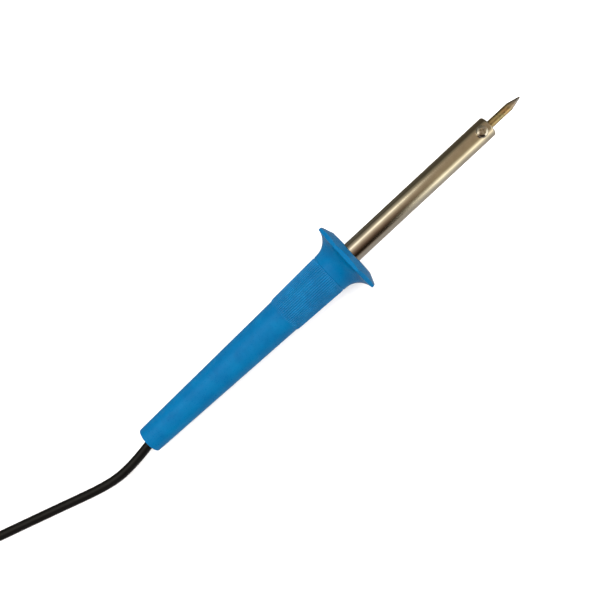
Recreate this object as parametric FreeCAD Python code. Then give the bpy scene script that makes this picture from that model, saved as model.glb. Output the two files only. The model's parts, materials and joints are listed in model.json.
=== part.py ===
import FreeCAD, Part
import math
import os

# Soldering iron, pencil type, lying on a bench on its guard and the rear end of its handle.
# Millimetres, +Z up. The iron is drawn along +X with x = 0 at the handle's rear face, then tipped
# up about Y by the angle it lies at, and moved so that its box stands centred on the origin.

V = FreeCAD.Vector
AXIS = V(1, 0, 0)
UP = V(0, 0, 1)

# ---- handle ----
body_length = 85.0          # smooth taper, rear face to the grip's step
body_rear_r = 6.4
body_front_r = 8.55
rear_edge_round = 0.8
mouth_r = 4.6               # open mouth that the cord leaves by
mouth_chamfer = 0.5
mouth_length = 15.2
cavity_rear_r = 5.3
cavity_front_r = 7.0
grip_length = 28.0
grip_step = 0.4             # how far the ribs stand above the body
grip_front_r = 9.85
rib_count = 60
rib_depth = 0.3
collar_of_grip = 0.9        # plain band between the ribs and the flare
front_wall = 10.6           # solid plastic behind the collar's recess

# ---- guard ----
flare_radius = 8.8
guard_across_flats = 35.0
guard_sides = 8
guard_corner_round = 1.2
guard_rim = 1.85            # thickness of the rim at the middle of a flat
hub_rim = 1.8               # flat ring round the recess
front_slope = 0.386         # fall of the guard's front per mm outwards
recess_depth = 3.0
recess_edge = 0.9           # from the plate screws' heads out to the recess's wall

# ---- barrel and its mounting plate ----
barrel_r = 5.0
barrel_wall = 0.4
barrel_exposed = 82.1       # from the guard's hub to the rolled end
barrel_roll = 1.3           # radius of the rolled end
barrel_tail = 2.0           # how far the barrel reaches into the handle's cavity
barrel_mouth_gap = 0.2
collar_thickness = 1.0
collar_edge_gap = 0.5
plate_screw_count = 3
plate_screw_inset = 0.5     # from the barrel out to the plate screws' heads
plate_screw_r = 1.1
plate_screw_length = 6.5
plate_screw_head_r = 2.0
plate_screw_head = 1.5
plate_pilot_spare = 0.5     # depth of a screw's hole beyond its point

# ---- bit, its screw and the heater ----
tip_r = 1.9
tip_length = 58.5
tip_exposed = 18.0
tip_cone = 6.0
tip_point_r = 0.42
tip_chamfer = 0.3
tip_travel = 40.0
tip_screw_back = 5.0        # screw's distance behind the barrel's end
tip_screw_r = 1.5
tip_screw_head_r = 2.75
tip_screw_head = 1.9
tip_screw_off_tip = 0.15
washer_thickness = 0.7
washer_slit = 0.5
washer_turn = 140.0         # where the slit stands round the screw, in degrees
bush_length = 7.4
bit_tube_wall = 0.45
heater_front_gap = 2.5      # from the bush back to the heater
heater_rear_gap = 1.2       # from the closed end of the bit's tube forward to the heater
heater_margin = 0.5         # bare mica past the winding
mica_inner_wall = 0.2
winding_depth = 0.4
winding_pitch = 0.9
ceramic_length = 7.5
ceramic_gap = 0.5           # from the ceramic to the bit's tube
lead_r = 0.4
lead_sleeve_r = 1.1
crimp_r = 1.3
crimp_length = 10.0
crimp_sleeve_r = 1.75
crimp_sleeve_overlap = 4.0
crimp_from_front = 14.0     # crimps' front end, behind the cavity's front wall
sleeve_gap = 1.0            # between the sleeves on a lead

# ---- cord and what is on it ----
cord_r = 2.2
core_r = 0.9
sheath_end = 25.5           # how far the sheath reaches into the handle
sheath_straight = 19.0      # from there to the cord's first bend
core_close_run = 8.0        # the cores stay together this far
core_splay = 12.0           # and part over this length
grip_sleeve_length = 9.8
grip_sleeve_head = 3.0
grip_sleeve_tip_r = 3.2
bend_share = 0.45           # share of the shorter run that a bend takes
lane_pitch = 4.5            # from one turn of the hank to the next, sideways and upwards
hank_lanes = 2
hank_inner_r = 13.5         # innermost fold
hank_half_run = 42.0
hank_waist = 7.1            # outermost turn's distance from the middle, under the tie
hank_layers = 4
tie_width = 8.0
tie_thickness = 0.7
plug_face_width = 35.3
plug_height = 13.7
plug_length = 34.0
plug_neck = 1.6             # the body's half width beyond the relief at its narrow end
plug_shoulder = 12.0        # length of the shoulder, and its share of the full width
plug_shoulder_share = 0.74
plug_straight = 8.0
plug_corner_round = 3.0
plug_edge_round = 2.0
plug_relief_length = 18.0
plug_relief_r = 5.0
relief_rings = 4
relief_wall = 1.0
relief_groove = 0.7         # depth, and reach behind and ahead of a ring's place
relief_groove_back = 0.9
relief_groove_ahead = 0.4
plug_pin_r = 2.0
plug_pin_length = 19.0
plug_pin_spread = 9.3
pin_sleeve_length = 10.0    # the sleeve is flush with the bare end of the pin
pin_root_r = 1.5
pin_root = 8.0

# ---- clearances ----
fit_gap = 0.05              # radial, running fits
seat_gap = 0.02             # radial, pieces fixed in each other
bit_end_gap = 0.3
washer_gap = 0.06

# The cord's free points, from the rearmost point of the handle, on the bench.
cord_points = [
    (-12.5, -3.8, 3.6), (-27.0, -3.6, 2.2), (-50.5, 4.8, 2.2),
    (-75.0, 12.6, 2.2), (-97.0, 19.5, 2.2), (-123.0, 20.5, 2.2),
]
hank_centre = (-165.7, 2.8)
tail_points = [
    (-207.7, 20.7, 15.6), (-222.0, 18.5, 14.8), (-238.0, 9.0, 9.8),
    (-251.0, 3.0, 6.85), (-262.0, 3.0, 6.85),
]


# ---- places along the iron, worked out from the sizes ----
grip_end = body_length + grip_length
flare_start = grip_end + collar_of_grip
flare_centre_r = grip_front_r + flare_radius
flat_r = guard_across_flats / 2
plate_screw_circle_r = barrel_r + plate_screw_inset + plate_screw_head_r
recess_r = plate_screw_circle_r + plate_screw_head_r + recess_edge
hub_rim_r = recess_r + hub_rim


def flare_x(radius):
    """Where the flare's rear surface stands at a radius."""
    inward = max(flare_centre_r - radius, 0.0)
    return flare_start + math.sqrt(flare_radius ** 2 - inward ** 2)


rim_rear = flare_x(flat_r)
hub_front = rim_rear + guard_rim + (flat_r - hub_rim_r) * front_slope
recess_floor = hub_front - recess_depth
cavity_end = recess_floor - front_wall
barrel_rear = cavity_end - barrel_tail
barrel_end = hub_front + barrel_exposed
barrel_bore = barrel_r - barrel_wall
tip_end = barrel_end + tip_exposed
tip_rear = tip_end - tip_length
screw_x = barrel_end - tip_screw_back
bush_front = barrel_end - barrel_roll - fit_gap
bush_rear = bush_front - bush_length
bit_tube_bore = tip_r + fit_gap
bit_tube_r = bit_tube_bore + bit_tube_wall
bit_tube_rear = tip_rear - bit_end_gap - bit_tube_wall
mica_inner_r = bit_tube_r + seat_gap + mica_inner_wall
winding_r = mica_inner_r + seat_gap + winding_depth
heater_rear = bit_tube_rear + heater_rear_gap
heater_front = bush_rear - heater_front_gap
ceramic_front = bit_tube_rear - ceramic_gap
ceramic_rear = ceramic_front - ceramic_length
crimp_front = cavity_end - crimp_from_front
crimp_rear = crimp_front - crimp_length
lead_spread = bit_tube_r + fit_gap + lead_r   # the leads' distance from the axis
screw_seat = barrel_r + washer_gap + washer_thickness + washer_gap


def lying_angle():
    """The tilt at which the rim's flat and the rounded rear edge both touch the bench, in radians."""
    along = rim_rear - rear_edge_round
    drop = flat_r - (body_rear_r - rear_edge_round)
    return math.atan2(drop, along) - math.asin(rear_edge_round / math.hypot(along, drop))


tilt = lying_angle()
lift = flat_r * math.cos(tilt) - rim_rear * math.sin(tilt)


# ---- shapes ----
def ring_of(points):
    """A face in the XY plane. A point is (x, y), or (mid_x, mid_y, x, y) at the end of an arc."""
    edges = []
    here = V(points[0][0], points[0][1], 0)
    for point in points[1:] + points[:1]:
        there = V(point[-2], point[-1], 0)
        if there.isEqual(here, 1e-7):
            continue
        if len(point) == 4:
            edges.append(Part.Arc(here, V(point[0], point[1], 0), there).toShape())
        else:
            edges.append(Part.LineSegment(here, there).toShape())
        here = there
    return Part.Face(Part.Wire(edges))


def turned(points):
    """A solid of revolution about the iron's axis from an outline of (x, radius) points."""
    return ring_of(points).revolve(V(), AXIS, 360)


def round_corner(centre_x, centre_r, radius, degrees):
    """The point of a round corner at an angle from the axis."""
    angle = math.radians(degrees)
    return (centre_x + radius * math.cos(angle), centre_r + radius * math.sin(angle))


def rod(start, end, radius, y=0.0, z=0.0):
    return Part.makeCylinder(radius, end - start, V(start, y, z), AXIS)


def sleeve(start, end, outer, inner, y=0.0):
    return rod(start, end, outer, y).cut(rod(start - 1, end + 1, inner, y))


def pair(make):
    """The same piece on both sides of the axis, as one group."""
    return Part.Compound([make(-lead_spread), make(lead_spread)])


def cross_recess(shape, top, depth, half_length, half_width):
    """Cut a cross-shaped driver recess into the head of a screw that stands along +Z."""
    for turn in (0, 90):
        slot = Part.makeBox(2 * half_length, 2 * half_width, depth + 1,
                            V(-half_length, -half_width, top - depth))
        slot.rotate(V(), UP, turn)
        shape = shape.cut(slot)
    return shape


def pan_screw(shank_r, length, head_r, head, point=0.0):
    """A pan-head screw along Z, its head standing on z = 0 and its shank below."""
    rim = head * 0.45
    profile = ring_of([(0, -length), (shank_r - point, -length), (shank_r, point - length),
                       (shank_r, 0), (head_r, 0), (head_r, rim),
                       (head_r * 0.75, head * 0.88, 0, head)])
    screw = profile.revolve(V(), V(0, 1, 0), 360)
    screw.rotate(V(), AXIS, 90)
    return cross_recess(screw, head, head * 0.6, head_r * 0.58, head_r * 0.13)


def bent_path(points):
    """Straight runs joined by tangent arcs as large as the runs allow, and the arcs' radii."""
    edges = []
    radii = []
    here = points[0]
    for before, corner, after in zip(points, points[1:], points[2:]):
        back = (before - corner).normalize()
        ahead = (after - corner).normalize()
        reach = bend_share * min(before.distanceToPoint(corner), corner.distanceToPoint(after))
        half_turn = (math.pi - back.getAngle(ahead)) / 2
        radius = reach / math.tan(half_turn)
        middle = (back + ahead).normalize()
        arc_mid = corner + middle * (radius / math.cos(half_turn) - radius)
        start = corner + back * reach
        end = corner + ahead * reach
        edges.append(Part.LineSegment(here, start).toShape())
        edges.append(Part.Arc(start, arc_mid, end).toShape())
        radii.append(radius)
        here = end
    edges.append(Part.LineSegment(here, points[-1]).toShape())
    return Part.Wire(edges), radii


def tube_along(points, radius, name):
    """A round bar along a bent path. It prints its bends and how its volume compares."""
    path, radii = bent_path(points)
    section = Part.Wire([Part.Circle(points[0], points[1] - points[0], radius).toShape()])
    bar = path.makePipeShell([section], True, False)
    share = bar.Volume / (math.pi * radius ** 2 * path.Length)
    print(name, "length", round(path.Length, 1), "radii", [round(r, 1) for r in radii],
          "volume / (section x length)", round(share, 4))
    return bar


# ---- handle ----
def handle_body():
    corner = (rear_edge_round, body_rear_r - rear_edge_round)
    return turned([(0, 0), (0, corner[1]),
                   round_corner(*corner, rear_edge_round, 135) + (rear_edge_round, body_rear_r),
                   (body_length, body_front_r), (body_length, 0)])


def rib_star(x, radius):
    """The ribbed outline: one tooth for each rib."""
    corners = []
    for step in range(2 * rib_count + 1):
        angle = math.pi * step / rib_count
        reach = radius - rib_depth * (step % 2)
        corners.append(V(x, reach * math.cos(angle), reach * math.sin(angle)))
    return Part.makePolygon(corners)


def ribbed_grip():
    rear = rib_star(body_length, body_front_r + grip_step)
    front = rib_star(grip_end, grip_front_r)
    return Part.makeLoft([rear, front], True, True)


def guard_prism():
    """The many-sided prism that the guard's rim is cut to, standing on a flat."""
    corner_r = flat_r / math.cos(math.pi / guard_sides)
    corners = []
    for step in range(guard_sides + 1):
        angle = 2 * math.pi * (step + 0.5) / guard_sides
        corners.append(V(grip_end - 1, corner_r * math.cos(angle), corner_r * math.sin(angle)))
    prism = Part.Face(Part.makePolygon(corners)).extrude(V(hub_front - grip_end + 2, 0, 0))
    long_edges = [e for e in prism.Edges if abs(e.tangentAt(e.FirstParameter).x) > 0.99]
    return prism.makeFillet(guard_corner_round, long_edges)


def guard():
    outer_r = max(flat_r / math.cos(math.pi / guard_sides), flare_centre_r) + 0.5
    flare_end = flare_start + flare_radius
    flare_mid = round_corner(flare_start, flare_centre_r, flare_radius, -45)
    blank = turned([(grip_end, 0), (grip_end, grip_front_r), (flare_start, grip_front_r),
                    flare_mid + (flare_end, flare_centre_r), (flare_end, outer_r),
                    (hub_front - (outer_r - hub_rim_r) * front_slope, outer_r),
                    (hub_front, hub_rim_r), (hub_front, 0)])
    return blank.common(guard_prism())


def handle_hollow():
    bore = barrel_r + seat_gap
    return turned([(-1, 0), (-1, mouth_r + mouth_chamfer + 1), (mouth_chamfer, mouth_r),
                   (mouth_length, mouth_r), (mouth_length, cavity_rear_r),
                   (cavity_end, cavity_front_r), (cavity_end, bore), (recess_floor, bore),
                   (recess_floor, recess_r), (hub_front + 1, recess_r), (hub_front + 1, 0)])


def around_plate(make):
    """One piece for each plate screw, the first straight above the axis."""
    pieces = []
    for index in range(plate_screw_count):
        piece = make()
        piece.rotate(V(), AXIS, 360 * index / plate_screw_count)
        pieces.append(piece)
    return pieces


def plate_hole(start, length, radius):
    return rod(start, start + length, radius, z=plate_screw_circle_r)


def handle():
    shape = handle_body().fuse([ribbed_grip(), guard()]).cut(handle_hollow())
    depth = plate_screw_length - collar_thickness + plate_pilot_spare
    holes = around_plate(lambda: plate_hole(recess_floor - depth, depth + 1, plate_screw_r + seat_gap))
    return shape.cut(holes).removeSplitter()


# ---- barrel and plate ----
def barrel():
    roll_x = barrel_end - barrel_roll
    roll_r = barrel_r - barrel_roll
    inner_roll = barrel_roll - barrel_wall
    mouth = bit_tube_r + barrel_mouth_gap
    tube = turned([(barrel_rear, barrel_bore), (barrel_rear, barrel_r), (roll_x, barrel_r),
                   round_corner(roll_x, roll_r, barrel_roll, 45) + (barrel_end, roll_r),
                   (barrel_end, mouth), (barrel_end - barrel_wall, mouth),
                   (barrel_end - barrel_wall, roll_r),
                   round_corner(roll_x, roll_r, inner_roll, 45) + (roll_x, barrel_bore)])
    return tube.cut(screw_hole(tip_screw_r + 3 * fit_gap))


def screw_hole(radius):
    return Part.makeCylinder(radius, barrel_r + 1, V(screw_x, 0, 0), UP)


def barrel_collar():
    front = recess_floor + collar_thickness
    plate = sleeve(recess_floor, front, recess_r - collar_edge_gap, barrel_r + seat_gap)
    holes = around_plate(lambda: plate_hole(recess_floor - 1, collar_thickness + 2,
                                            plate_screw_r + 2 * fit_gap))
    return plate.cut(holes)


def plate_screw():
    screw = pan_screw(plate_screw_r, plate_screw_length, plate_screw_head_r, plate_screw_head,
                      plate_screw_r * 0.6)
    screw.rotate(V(), V(0, 1, 0), 90)
    screw.translate(V(recess_floor + collar_thickness, 0, plate_screw_circle_r))
    return screw


# ---- bit and screw ----
def tip():
    """A round bit with a chamfered back end and a cone that runs into a round point."""
    centre_x = tip_end - tip_point_r
    cone_run = tip_cone - tip_point_r
    slope = math.atan2(tip_r, cone_run) - math.asin(tip_point_r / math.hypot(cone_run, tip_r))
    touch = 90 - math.degrees(slope)
    return turned([(tip_rear, 0), (tip_rear, tip_r - tip_chamfer), (tip_rear + tip_chamfer, tip_r),
                   (tip_end - tip_cone, tip_r), round_corner(centre_x, 0, tip_point_r, touch),
                   round_corner(centre_x, 0, tip_point_r, touch / 2) + (tip_end, 0)])


def tip_screw():
    reach = screw_seat - tip_r - tip_screw_off_tip
    screw = pan_screw(tip_screw_r, reach, tip_screw_head_r, tip_screw_head)
    screw.translate(V(screw_x, 0, screw_seat))
    return screw


def tip_screw_washer():
    ring = Part.makeCylinder(tip_screw_head_r + fit_gap, washer_thickness)
    ring = ring.cut(Part.makeCylinder(tip_screw_r + 2 * fit_gap, washer_thickness))
    ring = ring.cut(Part.makeBox(2 * tip_screw_head_r, washer_slit, washer_thickness,
                                 V(0, -washer_slit / 2, 0)))
    ring.rotate(V(), UP, washer_turn)
    ring.translate(V(screw_x, 0, barrel_r + washer_gap))
    return ring


# ---- inside the barrel ----
def barrel_bush():
    bush = sleeve(bush_rear, bush_front, barrel_bore - seat_gap, bit_tube_r + seat_gap)
    return bush.cut(screw_hole(tip_screw_r + fit_gap))


def bit_tube():
    tube = rod(bit_tube_rear, barrel_end, bit_tube_r)
    tube = tube.cut(rod(bit_tube_rear + bit_tube_wall, barrel_end + 1, bit_tube_bore))
    return tube.cut(screw_hole(tip_screw_r + fit_gap))


def mica_inner():
    return sleeve(heater_rear, heater_front, mica_inner_r, bit_tube_r + seat_gap)


def heater_winding():
    """Turns of resistance wire side by side, drawn as one ridged sleeve."""
    inner = mica_inner_r + seat_gap
    rear = heater_rear + heater_margin
    turns = int((heater_front - heater_margin - rear) / winding_pitch)
    outline = [(rear, inner)]
    for turn in range(turns):
        start = rear + turn * winding_pitch
        outline.append((start, winding_r - winding_depth / 2))
        outline.append((start + winding_pitch / 2, winding_r))
    end = rear + turns * winding_pitch
    outline.append((end, winding_r - winding_depth / 2))
    outline.append((end, inner))
    return turned(outline)


def mica_outer():
    return sleeve(heater_rear, heater_front, barrel_bore - fit_gap, winding_r + seat_gap)


def ceramic_plug():
    plug = rod(ceramic_rear, ceramic_front, barrel_bore - fit_gap)
    return plug.cut(pair(lambda y: rod(ceramic_rear - 1, ceramic_front + 1, lead_r + fit_gap, y)))


def heater_lead(side):
    return rod(crimp_front - crimp_length / 2, heater_rear - fit_gap, lead_r, side * lead_spread)


def lead_sleeves():
    start = crimp_front + crimp_sleeve_overlap + sleeve_gap
    return pair(lambda y: sleeve(start, ceramic_rear - fit_gap, lead_sleeve_r, lead_r + fit_gap, y))


def crimp(y):
    bore = rod(crimp_front - crimp_length / 2 - fit_gap, crimp_front + 1, lead_r + seat_gap, y)
    return rod(crimp_rear, crimp_front, crimp_r, y).cut(bore)


def crimp_sleeves():
    return pair(lambda y: sleeve(crimp_rear - crimp_sleeve_overlap, crimp_front + crimp_sleeve_overlap,
                                 crimp_sleeve_r, crimp_r + fit_gap, y))


# ---- inside the handle's rear end ----
def cord_core(side, name):
    close = side * (core_r + fit_gap)
    wide = side * lead_spread
    parting = sheath_end + core_close_run
    points = [V(sheath_end, close, 0), V(parting, close, 0), V(parting + core_splay, wide, 0),
              V(crimp_rear, wide, 0)]
    return tube_along(points, core_r, name)


def cord_grip():
    end = mouth_length + grip_sleeve_length
    head = mouth_length + grip_sleeve_head
    shape = turned([(mouth_length, 0), (mouth_length, cavity_rear_r - seat_gap),
                    (head, cavity_rear_r - seat_gap), (end, grip_sleeve_tip_r), (end, 0)])
    return shape.cut(rod(mouth_length - 1, end + 1, cord_r + seat_gap))


# ---- placing ----
def placed(shape):
    """The shape tipped up to the lying angle and moved into the part's own frame."""
    shape = shape.copy()
    shape.rotate(V(), V(0, 1, 0), -math.degrees(tilt))
    shape.translate(V(-box_centre_x, 0, lift))
    return shape


def on_axis(x):
    return V(x * math.cos(tilt) - box_centre_x, 0, x * math.sin(tilt) + lift)


box_centre_x = 0.0
handle_shape = handle()
tip_shape = tip()
rearmost = placed(handle_shape).optimalBoundingBox(False, False).XMin
foremost = placed(tip_shape).optimalBoundingBox(False, False).XMax
box_centre_x = (rearmost + foremost) / 2
rear_x = rearmost - box_centre_x


def from_rear(points):
    """Points given from the handle's rearmost point, in the part's frame."""
    return [V(rear_x + x, y, z) for x, y, z in points]


# ---- the cord's put-away length ----
hank_outer_r = hank_inner_r + (hank_lanes - 1) * lane_pitch + cord_r
hank_waist_half = hank_waist + cord_r
hank_height = (hank_layers - 1) * lane_pitch + 2 * cord_r


def waisted_outline(end_r, waist):
    """Two round ends joined by a pinched waist, in plan: four tangent arcs."""
    side_r = (hank_half_run ** 2 + waist ** 2 - end_r ** 2) / (2 * (end_r - waist))
    share = end_r / (end_r + side_r)
    touch_x = hank_half_run * (1 - share)
    touch_y = (waist + side_r) * share
    far = hank_half_run + end_r
    return ring_of([(touch_x, touch_y), (0, waist, -touch_x, touch_y), (-far, 0, -touch_x, -touch_y),
                    (0, -waist, touch_x, -touch_y), (far, 0, touch_x, touch_y)])


def tie_block(grow, length):
    """The bundle's block under the tie, grown all round by a thickness."""
    half = hank_waist_half + fit_gap + grow
    height = hank_height + fit_gap + 2 * grow
    return Part.makeBox(length, 2 * half, height, V(-length / 2, -half, tie_thickness - grow))


def at_hank(shape):
    shape.translate(V(rear_x + hank_centre[0], hank_centre[1], 0))
    return shape


def cord_hank():
    plan = waisted_outline(hank_outer_r, hank_waist_half)
    shape = plan.extrude(V(0, 0, hank_height))
    strip = Part.makeBox(tie_width + 2 * fit_gap, 4 * hank_waist_half, 2 * hank_height,
                         V(-tie_width / 2 - fit_gap, -2 * hank_waist_half, -hank_height / 2))
    block = tie_block(-fit_gap, tie_width + 2 * fit_gap)
    return at_hank(shape.cut(strip).fuse(block))


def cord_tie():
    return at_hank(tie_block(tie_thickness, tie_width).cut(tie_block(0, tie_width + 2)))


# ---- plug ----
plug_face = plug_relief_length + plug_length


def at_plug(shape):
    """Drawn along +X from the cord's end of the plug, then turned to face away from the iron."""
    shape.rotate(V(), UP, 180)
    shape.translate(from_rear(tail_points[-1:])[0])
    return shape


def plug_relief():
    pitch = plug_relief_length / (relief_rings + 1)
    thin = cord_r + relief_wall
    outline = [(0, 0), (0, thin)]
    for ring in range(1, relief_rings + 1):
        x = ring * pitch
        radius = thin + (plug_relief_r - thin) * x / plug_relief_length
        start = x - relief_groove_back
        end = x + relief_groove_ahead
        outline += [(start, radius), (start, radius - relief_groove), (end, radius - relief_groove),
                    (end, radius)]
    outline += [(plug_relief_length, plug_relief_r), (plug_relief_length + 2, plug_relief_r),
                (plug_relief_length + 2, 0)]
    return turned(outline)


def plug_body():
    wide = plug_face_width / 2
    half_plan = [(plug_relief_length, plug_relief_r + plug_neck),
                 (plug_relief_length + plug_shoulder, wide * plug_shoulder_share),
                 (plug_face - plug_straight, wide), (plug_face, wide)]
    plan = ring_of(half_plan + [(x, -y) for x, y in reversed(half_plan)])
    plan.translate(V(0, 0, -plug_height / 2))
    block = plan.extrude(V(0, 0, plug_height))
    upright = [e for e in block.Edges if abs(e.tangentAt(e.FirstParameter).z) > 0.99]
    block = block.makeFillet(plug_corner_round, upright)
    level = [e for e in block.Edges
             if abs(abs(e.CenterOfMass.z) - plug_height / 2) < 0.01]
    block = block.makeFillet(plug_edge_round, level)
    holes = [rod(plug_face - pin_root, plug_face + 1, pin_root_r + seat_gap, side * plug_pin_spread)
             for side in (-1, 1)]
    return at_plug(block.fuse(plug_relief()).cut(holes))


def plug_pins():
    pins = []
    bare = plug_face + pin_sleeve_length
    end = plug_face + plug_pin_length
    for side in (-1, 1):
        pin = turned([(plug_face - pin_root, 0), (plug_face - pin_root, pin_root_r),
                      (bare, pin_root_r), (bare, plug_pin_r), (end - 1.0, plug_pin_r),
                      (end - 0.3, plug_pin_r * 0.8, end, plug_pin_r * 0.45), (end, 0)])
        pin.translate(V(0, side * plug_pin_spread, 0))
        pins.append(pin)
    return at_plug(Part.Compound(pins))


def pin_sleeves():
    end = plug_face + pin_sleeve_length - seat_gap
    parts = [sleeve(plug_face, end, plug_pin_r, pin_root_r + seat_gap, side * plug_pin_spread)
             for side in (-1, 1)]
    return at_plug(Part.Compound(parts))


# ---- the whole part ----
hank_shape = cord_hank()
cord_route = [on_axis(sheath_end), on_axis(sheath_end - sheath_straight)] + from_rear(cord_points)
cord_shape = tube_along(cord_route, cord_r, "power_cord").cut(hank_shape)
tail_shape = tube_along(from_rear(tail_points), cord_r, "cord_tail").cut(hank_shape)

nodes = {
    "handle": placed(handle_shape),
    "barrel": placed(barrel()),
    "barrel_collar": placed(barrel_collar()),
    "collar_screws": placed(Part.Compound(around_plate(plate_screw))),
    "tip": placed(tip_shape),
    "tip_screw": placed(tip_screw()),
    "tip_screw_washer": placed(tip_screw_washer()),
    "barrel_bush": placed(barrel_bush()),
    "bit_tube": placed(bit_tube()),
    "mica_inner": placed(mica_inner()),
    "heater_winding": placed(heater_winding()),
    "mica_outer": placed(mica_outer()),
    "ceramic_plug": placed(ceramic_plug()),
    "heater_lead_live": placed(heater_lead(1)),
    "heater_lead_neutral": placed(heater_lead(-1)),
    "lead_sleeves": placed(lead_sleeves()),
    "crimp_connectors": placed(pair(crimp)),
    "crimp_sleeves": placed(crimp_sleeves()),
    "core_live": placed(cord_core(1, "core_live")),
    "core_neutral": placed(cord_core(-1, "core_neutral")),
    "cord_grip": placed(cord_grip()),
    "power_cord": cord_shape,
    "cord_hank": hank_shape,
    "cord_tie": cord_tie(),
    "cord_tail": tail_shape,
    "plug_body": plug_body(),
    "plug_pins": plug_pins(),
    "pin_sleeves": pin_sleeves(),
}

os.makedirs("parts", exist_ok=True)
for name, shape in nodes.items():
    if not shape.isValid():
        raise ValueError(name + " is not a valid shape")
    shape.exportStep("parts/" + name + ".step")
    print(name, "solids", len(shape.Solids), "volume", round(shape.Volume, 2))


# What the joints and mounts are stated from.
print("tilt", round(math.degrees(tilt), 4), "rear x", round(rear_x, 4), "tip travel", tip_travel)
for label, x, z in (("tip screw axis through", screw_x, 0),
                    ("hub face", hub_front, (recess_r + hub_rim_r) / 2)):
    spot = placed(Part.Vertex(x, 0, z)).Point
    print(label, [round(c, 4) for c in spot])
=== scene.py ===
"""A pencil soldering iron on a pale bench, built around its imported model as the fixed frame."""

import json
import math

import bmesh
import bpy
from mathutils import Matrix, Vector


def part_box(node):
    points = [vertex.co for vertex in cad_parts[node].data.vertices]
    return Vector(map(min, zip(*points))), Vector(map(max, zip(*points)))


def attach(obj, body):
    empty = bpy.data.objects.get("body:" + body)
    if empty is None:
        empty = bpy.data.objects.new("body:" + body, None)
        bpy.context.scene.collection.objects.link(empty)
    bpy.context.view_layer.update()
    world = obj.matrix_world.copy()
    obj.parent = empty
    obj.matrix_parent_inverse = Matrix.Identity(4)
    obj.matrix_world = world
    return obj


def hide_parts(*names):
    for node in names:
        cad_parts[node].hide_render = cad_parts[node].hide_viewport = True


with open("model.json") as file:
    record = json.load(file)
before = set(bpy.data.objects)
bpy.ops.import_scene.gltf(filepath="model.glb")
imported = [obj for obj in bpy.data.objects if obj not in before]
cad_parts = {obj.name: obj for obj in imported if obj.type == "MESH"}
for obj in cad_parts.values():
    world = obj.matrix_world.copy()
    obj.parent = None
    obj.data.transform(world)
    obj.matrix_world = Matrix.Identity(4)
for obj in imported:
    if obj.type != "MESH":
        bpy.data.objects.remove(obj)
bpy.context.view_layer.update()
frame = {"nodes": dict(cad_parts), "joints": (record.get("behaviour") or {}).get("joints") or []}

bl_info = {
    "name": "Soldering iron",
    "version": (1, 0, 0),
    "blender": (4, 5, 0),
    "location": "3D View > Sidebar > Soldering iron",
    "description": "Builds a pencil soldering iron with its lead, plug and studio",
    "category": "Object",
}

MM = 0.001
FULL_TURN = 2 * math.pi
FRONT_SLOPE = 0.386     # fall of the guard's front outwards
CRISP_FROM = 32         # degrees between two faces from which their edge stays crisp
X_TO_Z = Matrix.Rotation(-math.pi / 2, 4, "Y")


# ---- settable sizes and colours ----
def size(name, millimetres, description):
    """A length that a user can change, given in millimetres."""
    return bpy.props.FloatProperty(name=name, description=description, default=millimetres * MM,
                                   min=0.0, precision=5, unit="LENGTH")


def number(name, default, description):
    """A count that a user can change."""
    return bpy.props.IntProperty(name=name, description=description, default=default, min=1)


def colour(name, red, green, blue, description):
    """A colour that a user can change, given as the display's 0 to 255."""
    linear = [((c / 255 + 0.055) / 1.055) ** 2.4 if c > 10 else c / 255 / 12.92
              for c in (red, green, blue)]
    return bpy.props.FloatVectorProperty(name=name, description=description, subtype="COLOR",
                                         default=linear, min=0.0, max=1.0)


class HandleSizes(bpy.types.PropertyGroup):
    """The moulded handle, its grip and its guard."""
    body_length: size("Body length", 85.0, "Rear face to the start of the grip")
    rear_radius: size("Rear radius", 6.4, "Radius of the rear end")
    rear_round: size("Rear edge", 0.8, "Rounding of the rear edge")
    front_radius: size("Front radius", 8.55, "Radius of the body where the grip starts")
    mouth_radius: size("Mouth radius", 4.6, "Opening that the lead leaves by")
    mouth_chamfer: size("Mouth chamfer", 0.5, "Chamfer of that opening")
    mouth_depth: size("Mouth depth", 15.2, "Depth of the opening, back to the lead's grip")
    cavity_rear: size("Cavity rear radius", 5.3, "Hollow's radius at the lead's grip")
    cavity_front: size("Cavity front radius", 7.0, "Hollow's radius behind the guard")
    front_wall: size("Front wall", 10.6, "Solid plastic behind the recess")
    grip_length: size("Grip length", 28.0, "Length of the ribs")
    grip_step: size("Grip step", 0.4, "How far the ribs stand above the body")
    grip_radius: size("Grip radius", 9.85, "Radius over the ribs at the front")
    ribs: number("Ribs", 60, "Ribs round the grip")
    rib_depth: size("Rib depth", 0.3, "Height of a rib")
    rib_width: size("Rib width", 0.62, "Width of a rib at its root")
    plain_band: size("Plain band", 0.9, "Band between the ribs and the flare")
    flare_radius: size("Flare radius", 8.8, "Curve from the grip out to the guard's rim")
    guard_flats: size("Guard across flats", 35.0, "Width of the guard")
    guard_sides: number("Guard sides", 8, "Flats round the guard")
    corner_round: size("Corner round", 1.2, "Rounding of the guard's corners")
    guard_rim: size("Guard rim", 1.85, "Thickness of the rim at the middle of a flat")
    hub_ring: size("Hub ring", 1.8, "Width of the flat ring round the recess")
    recess_radius: size("Recess radius", 10.4, "Recess that holds the barrel's plate")
    recess_depth: size("Recess depth", 3.0, "Depth of that recess")


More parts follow.
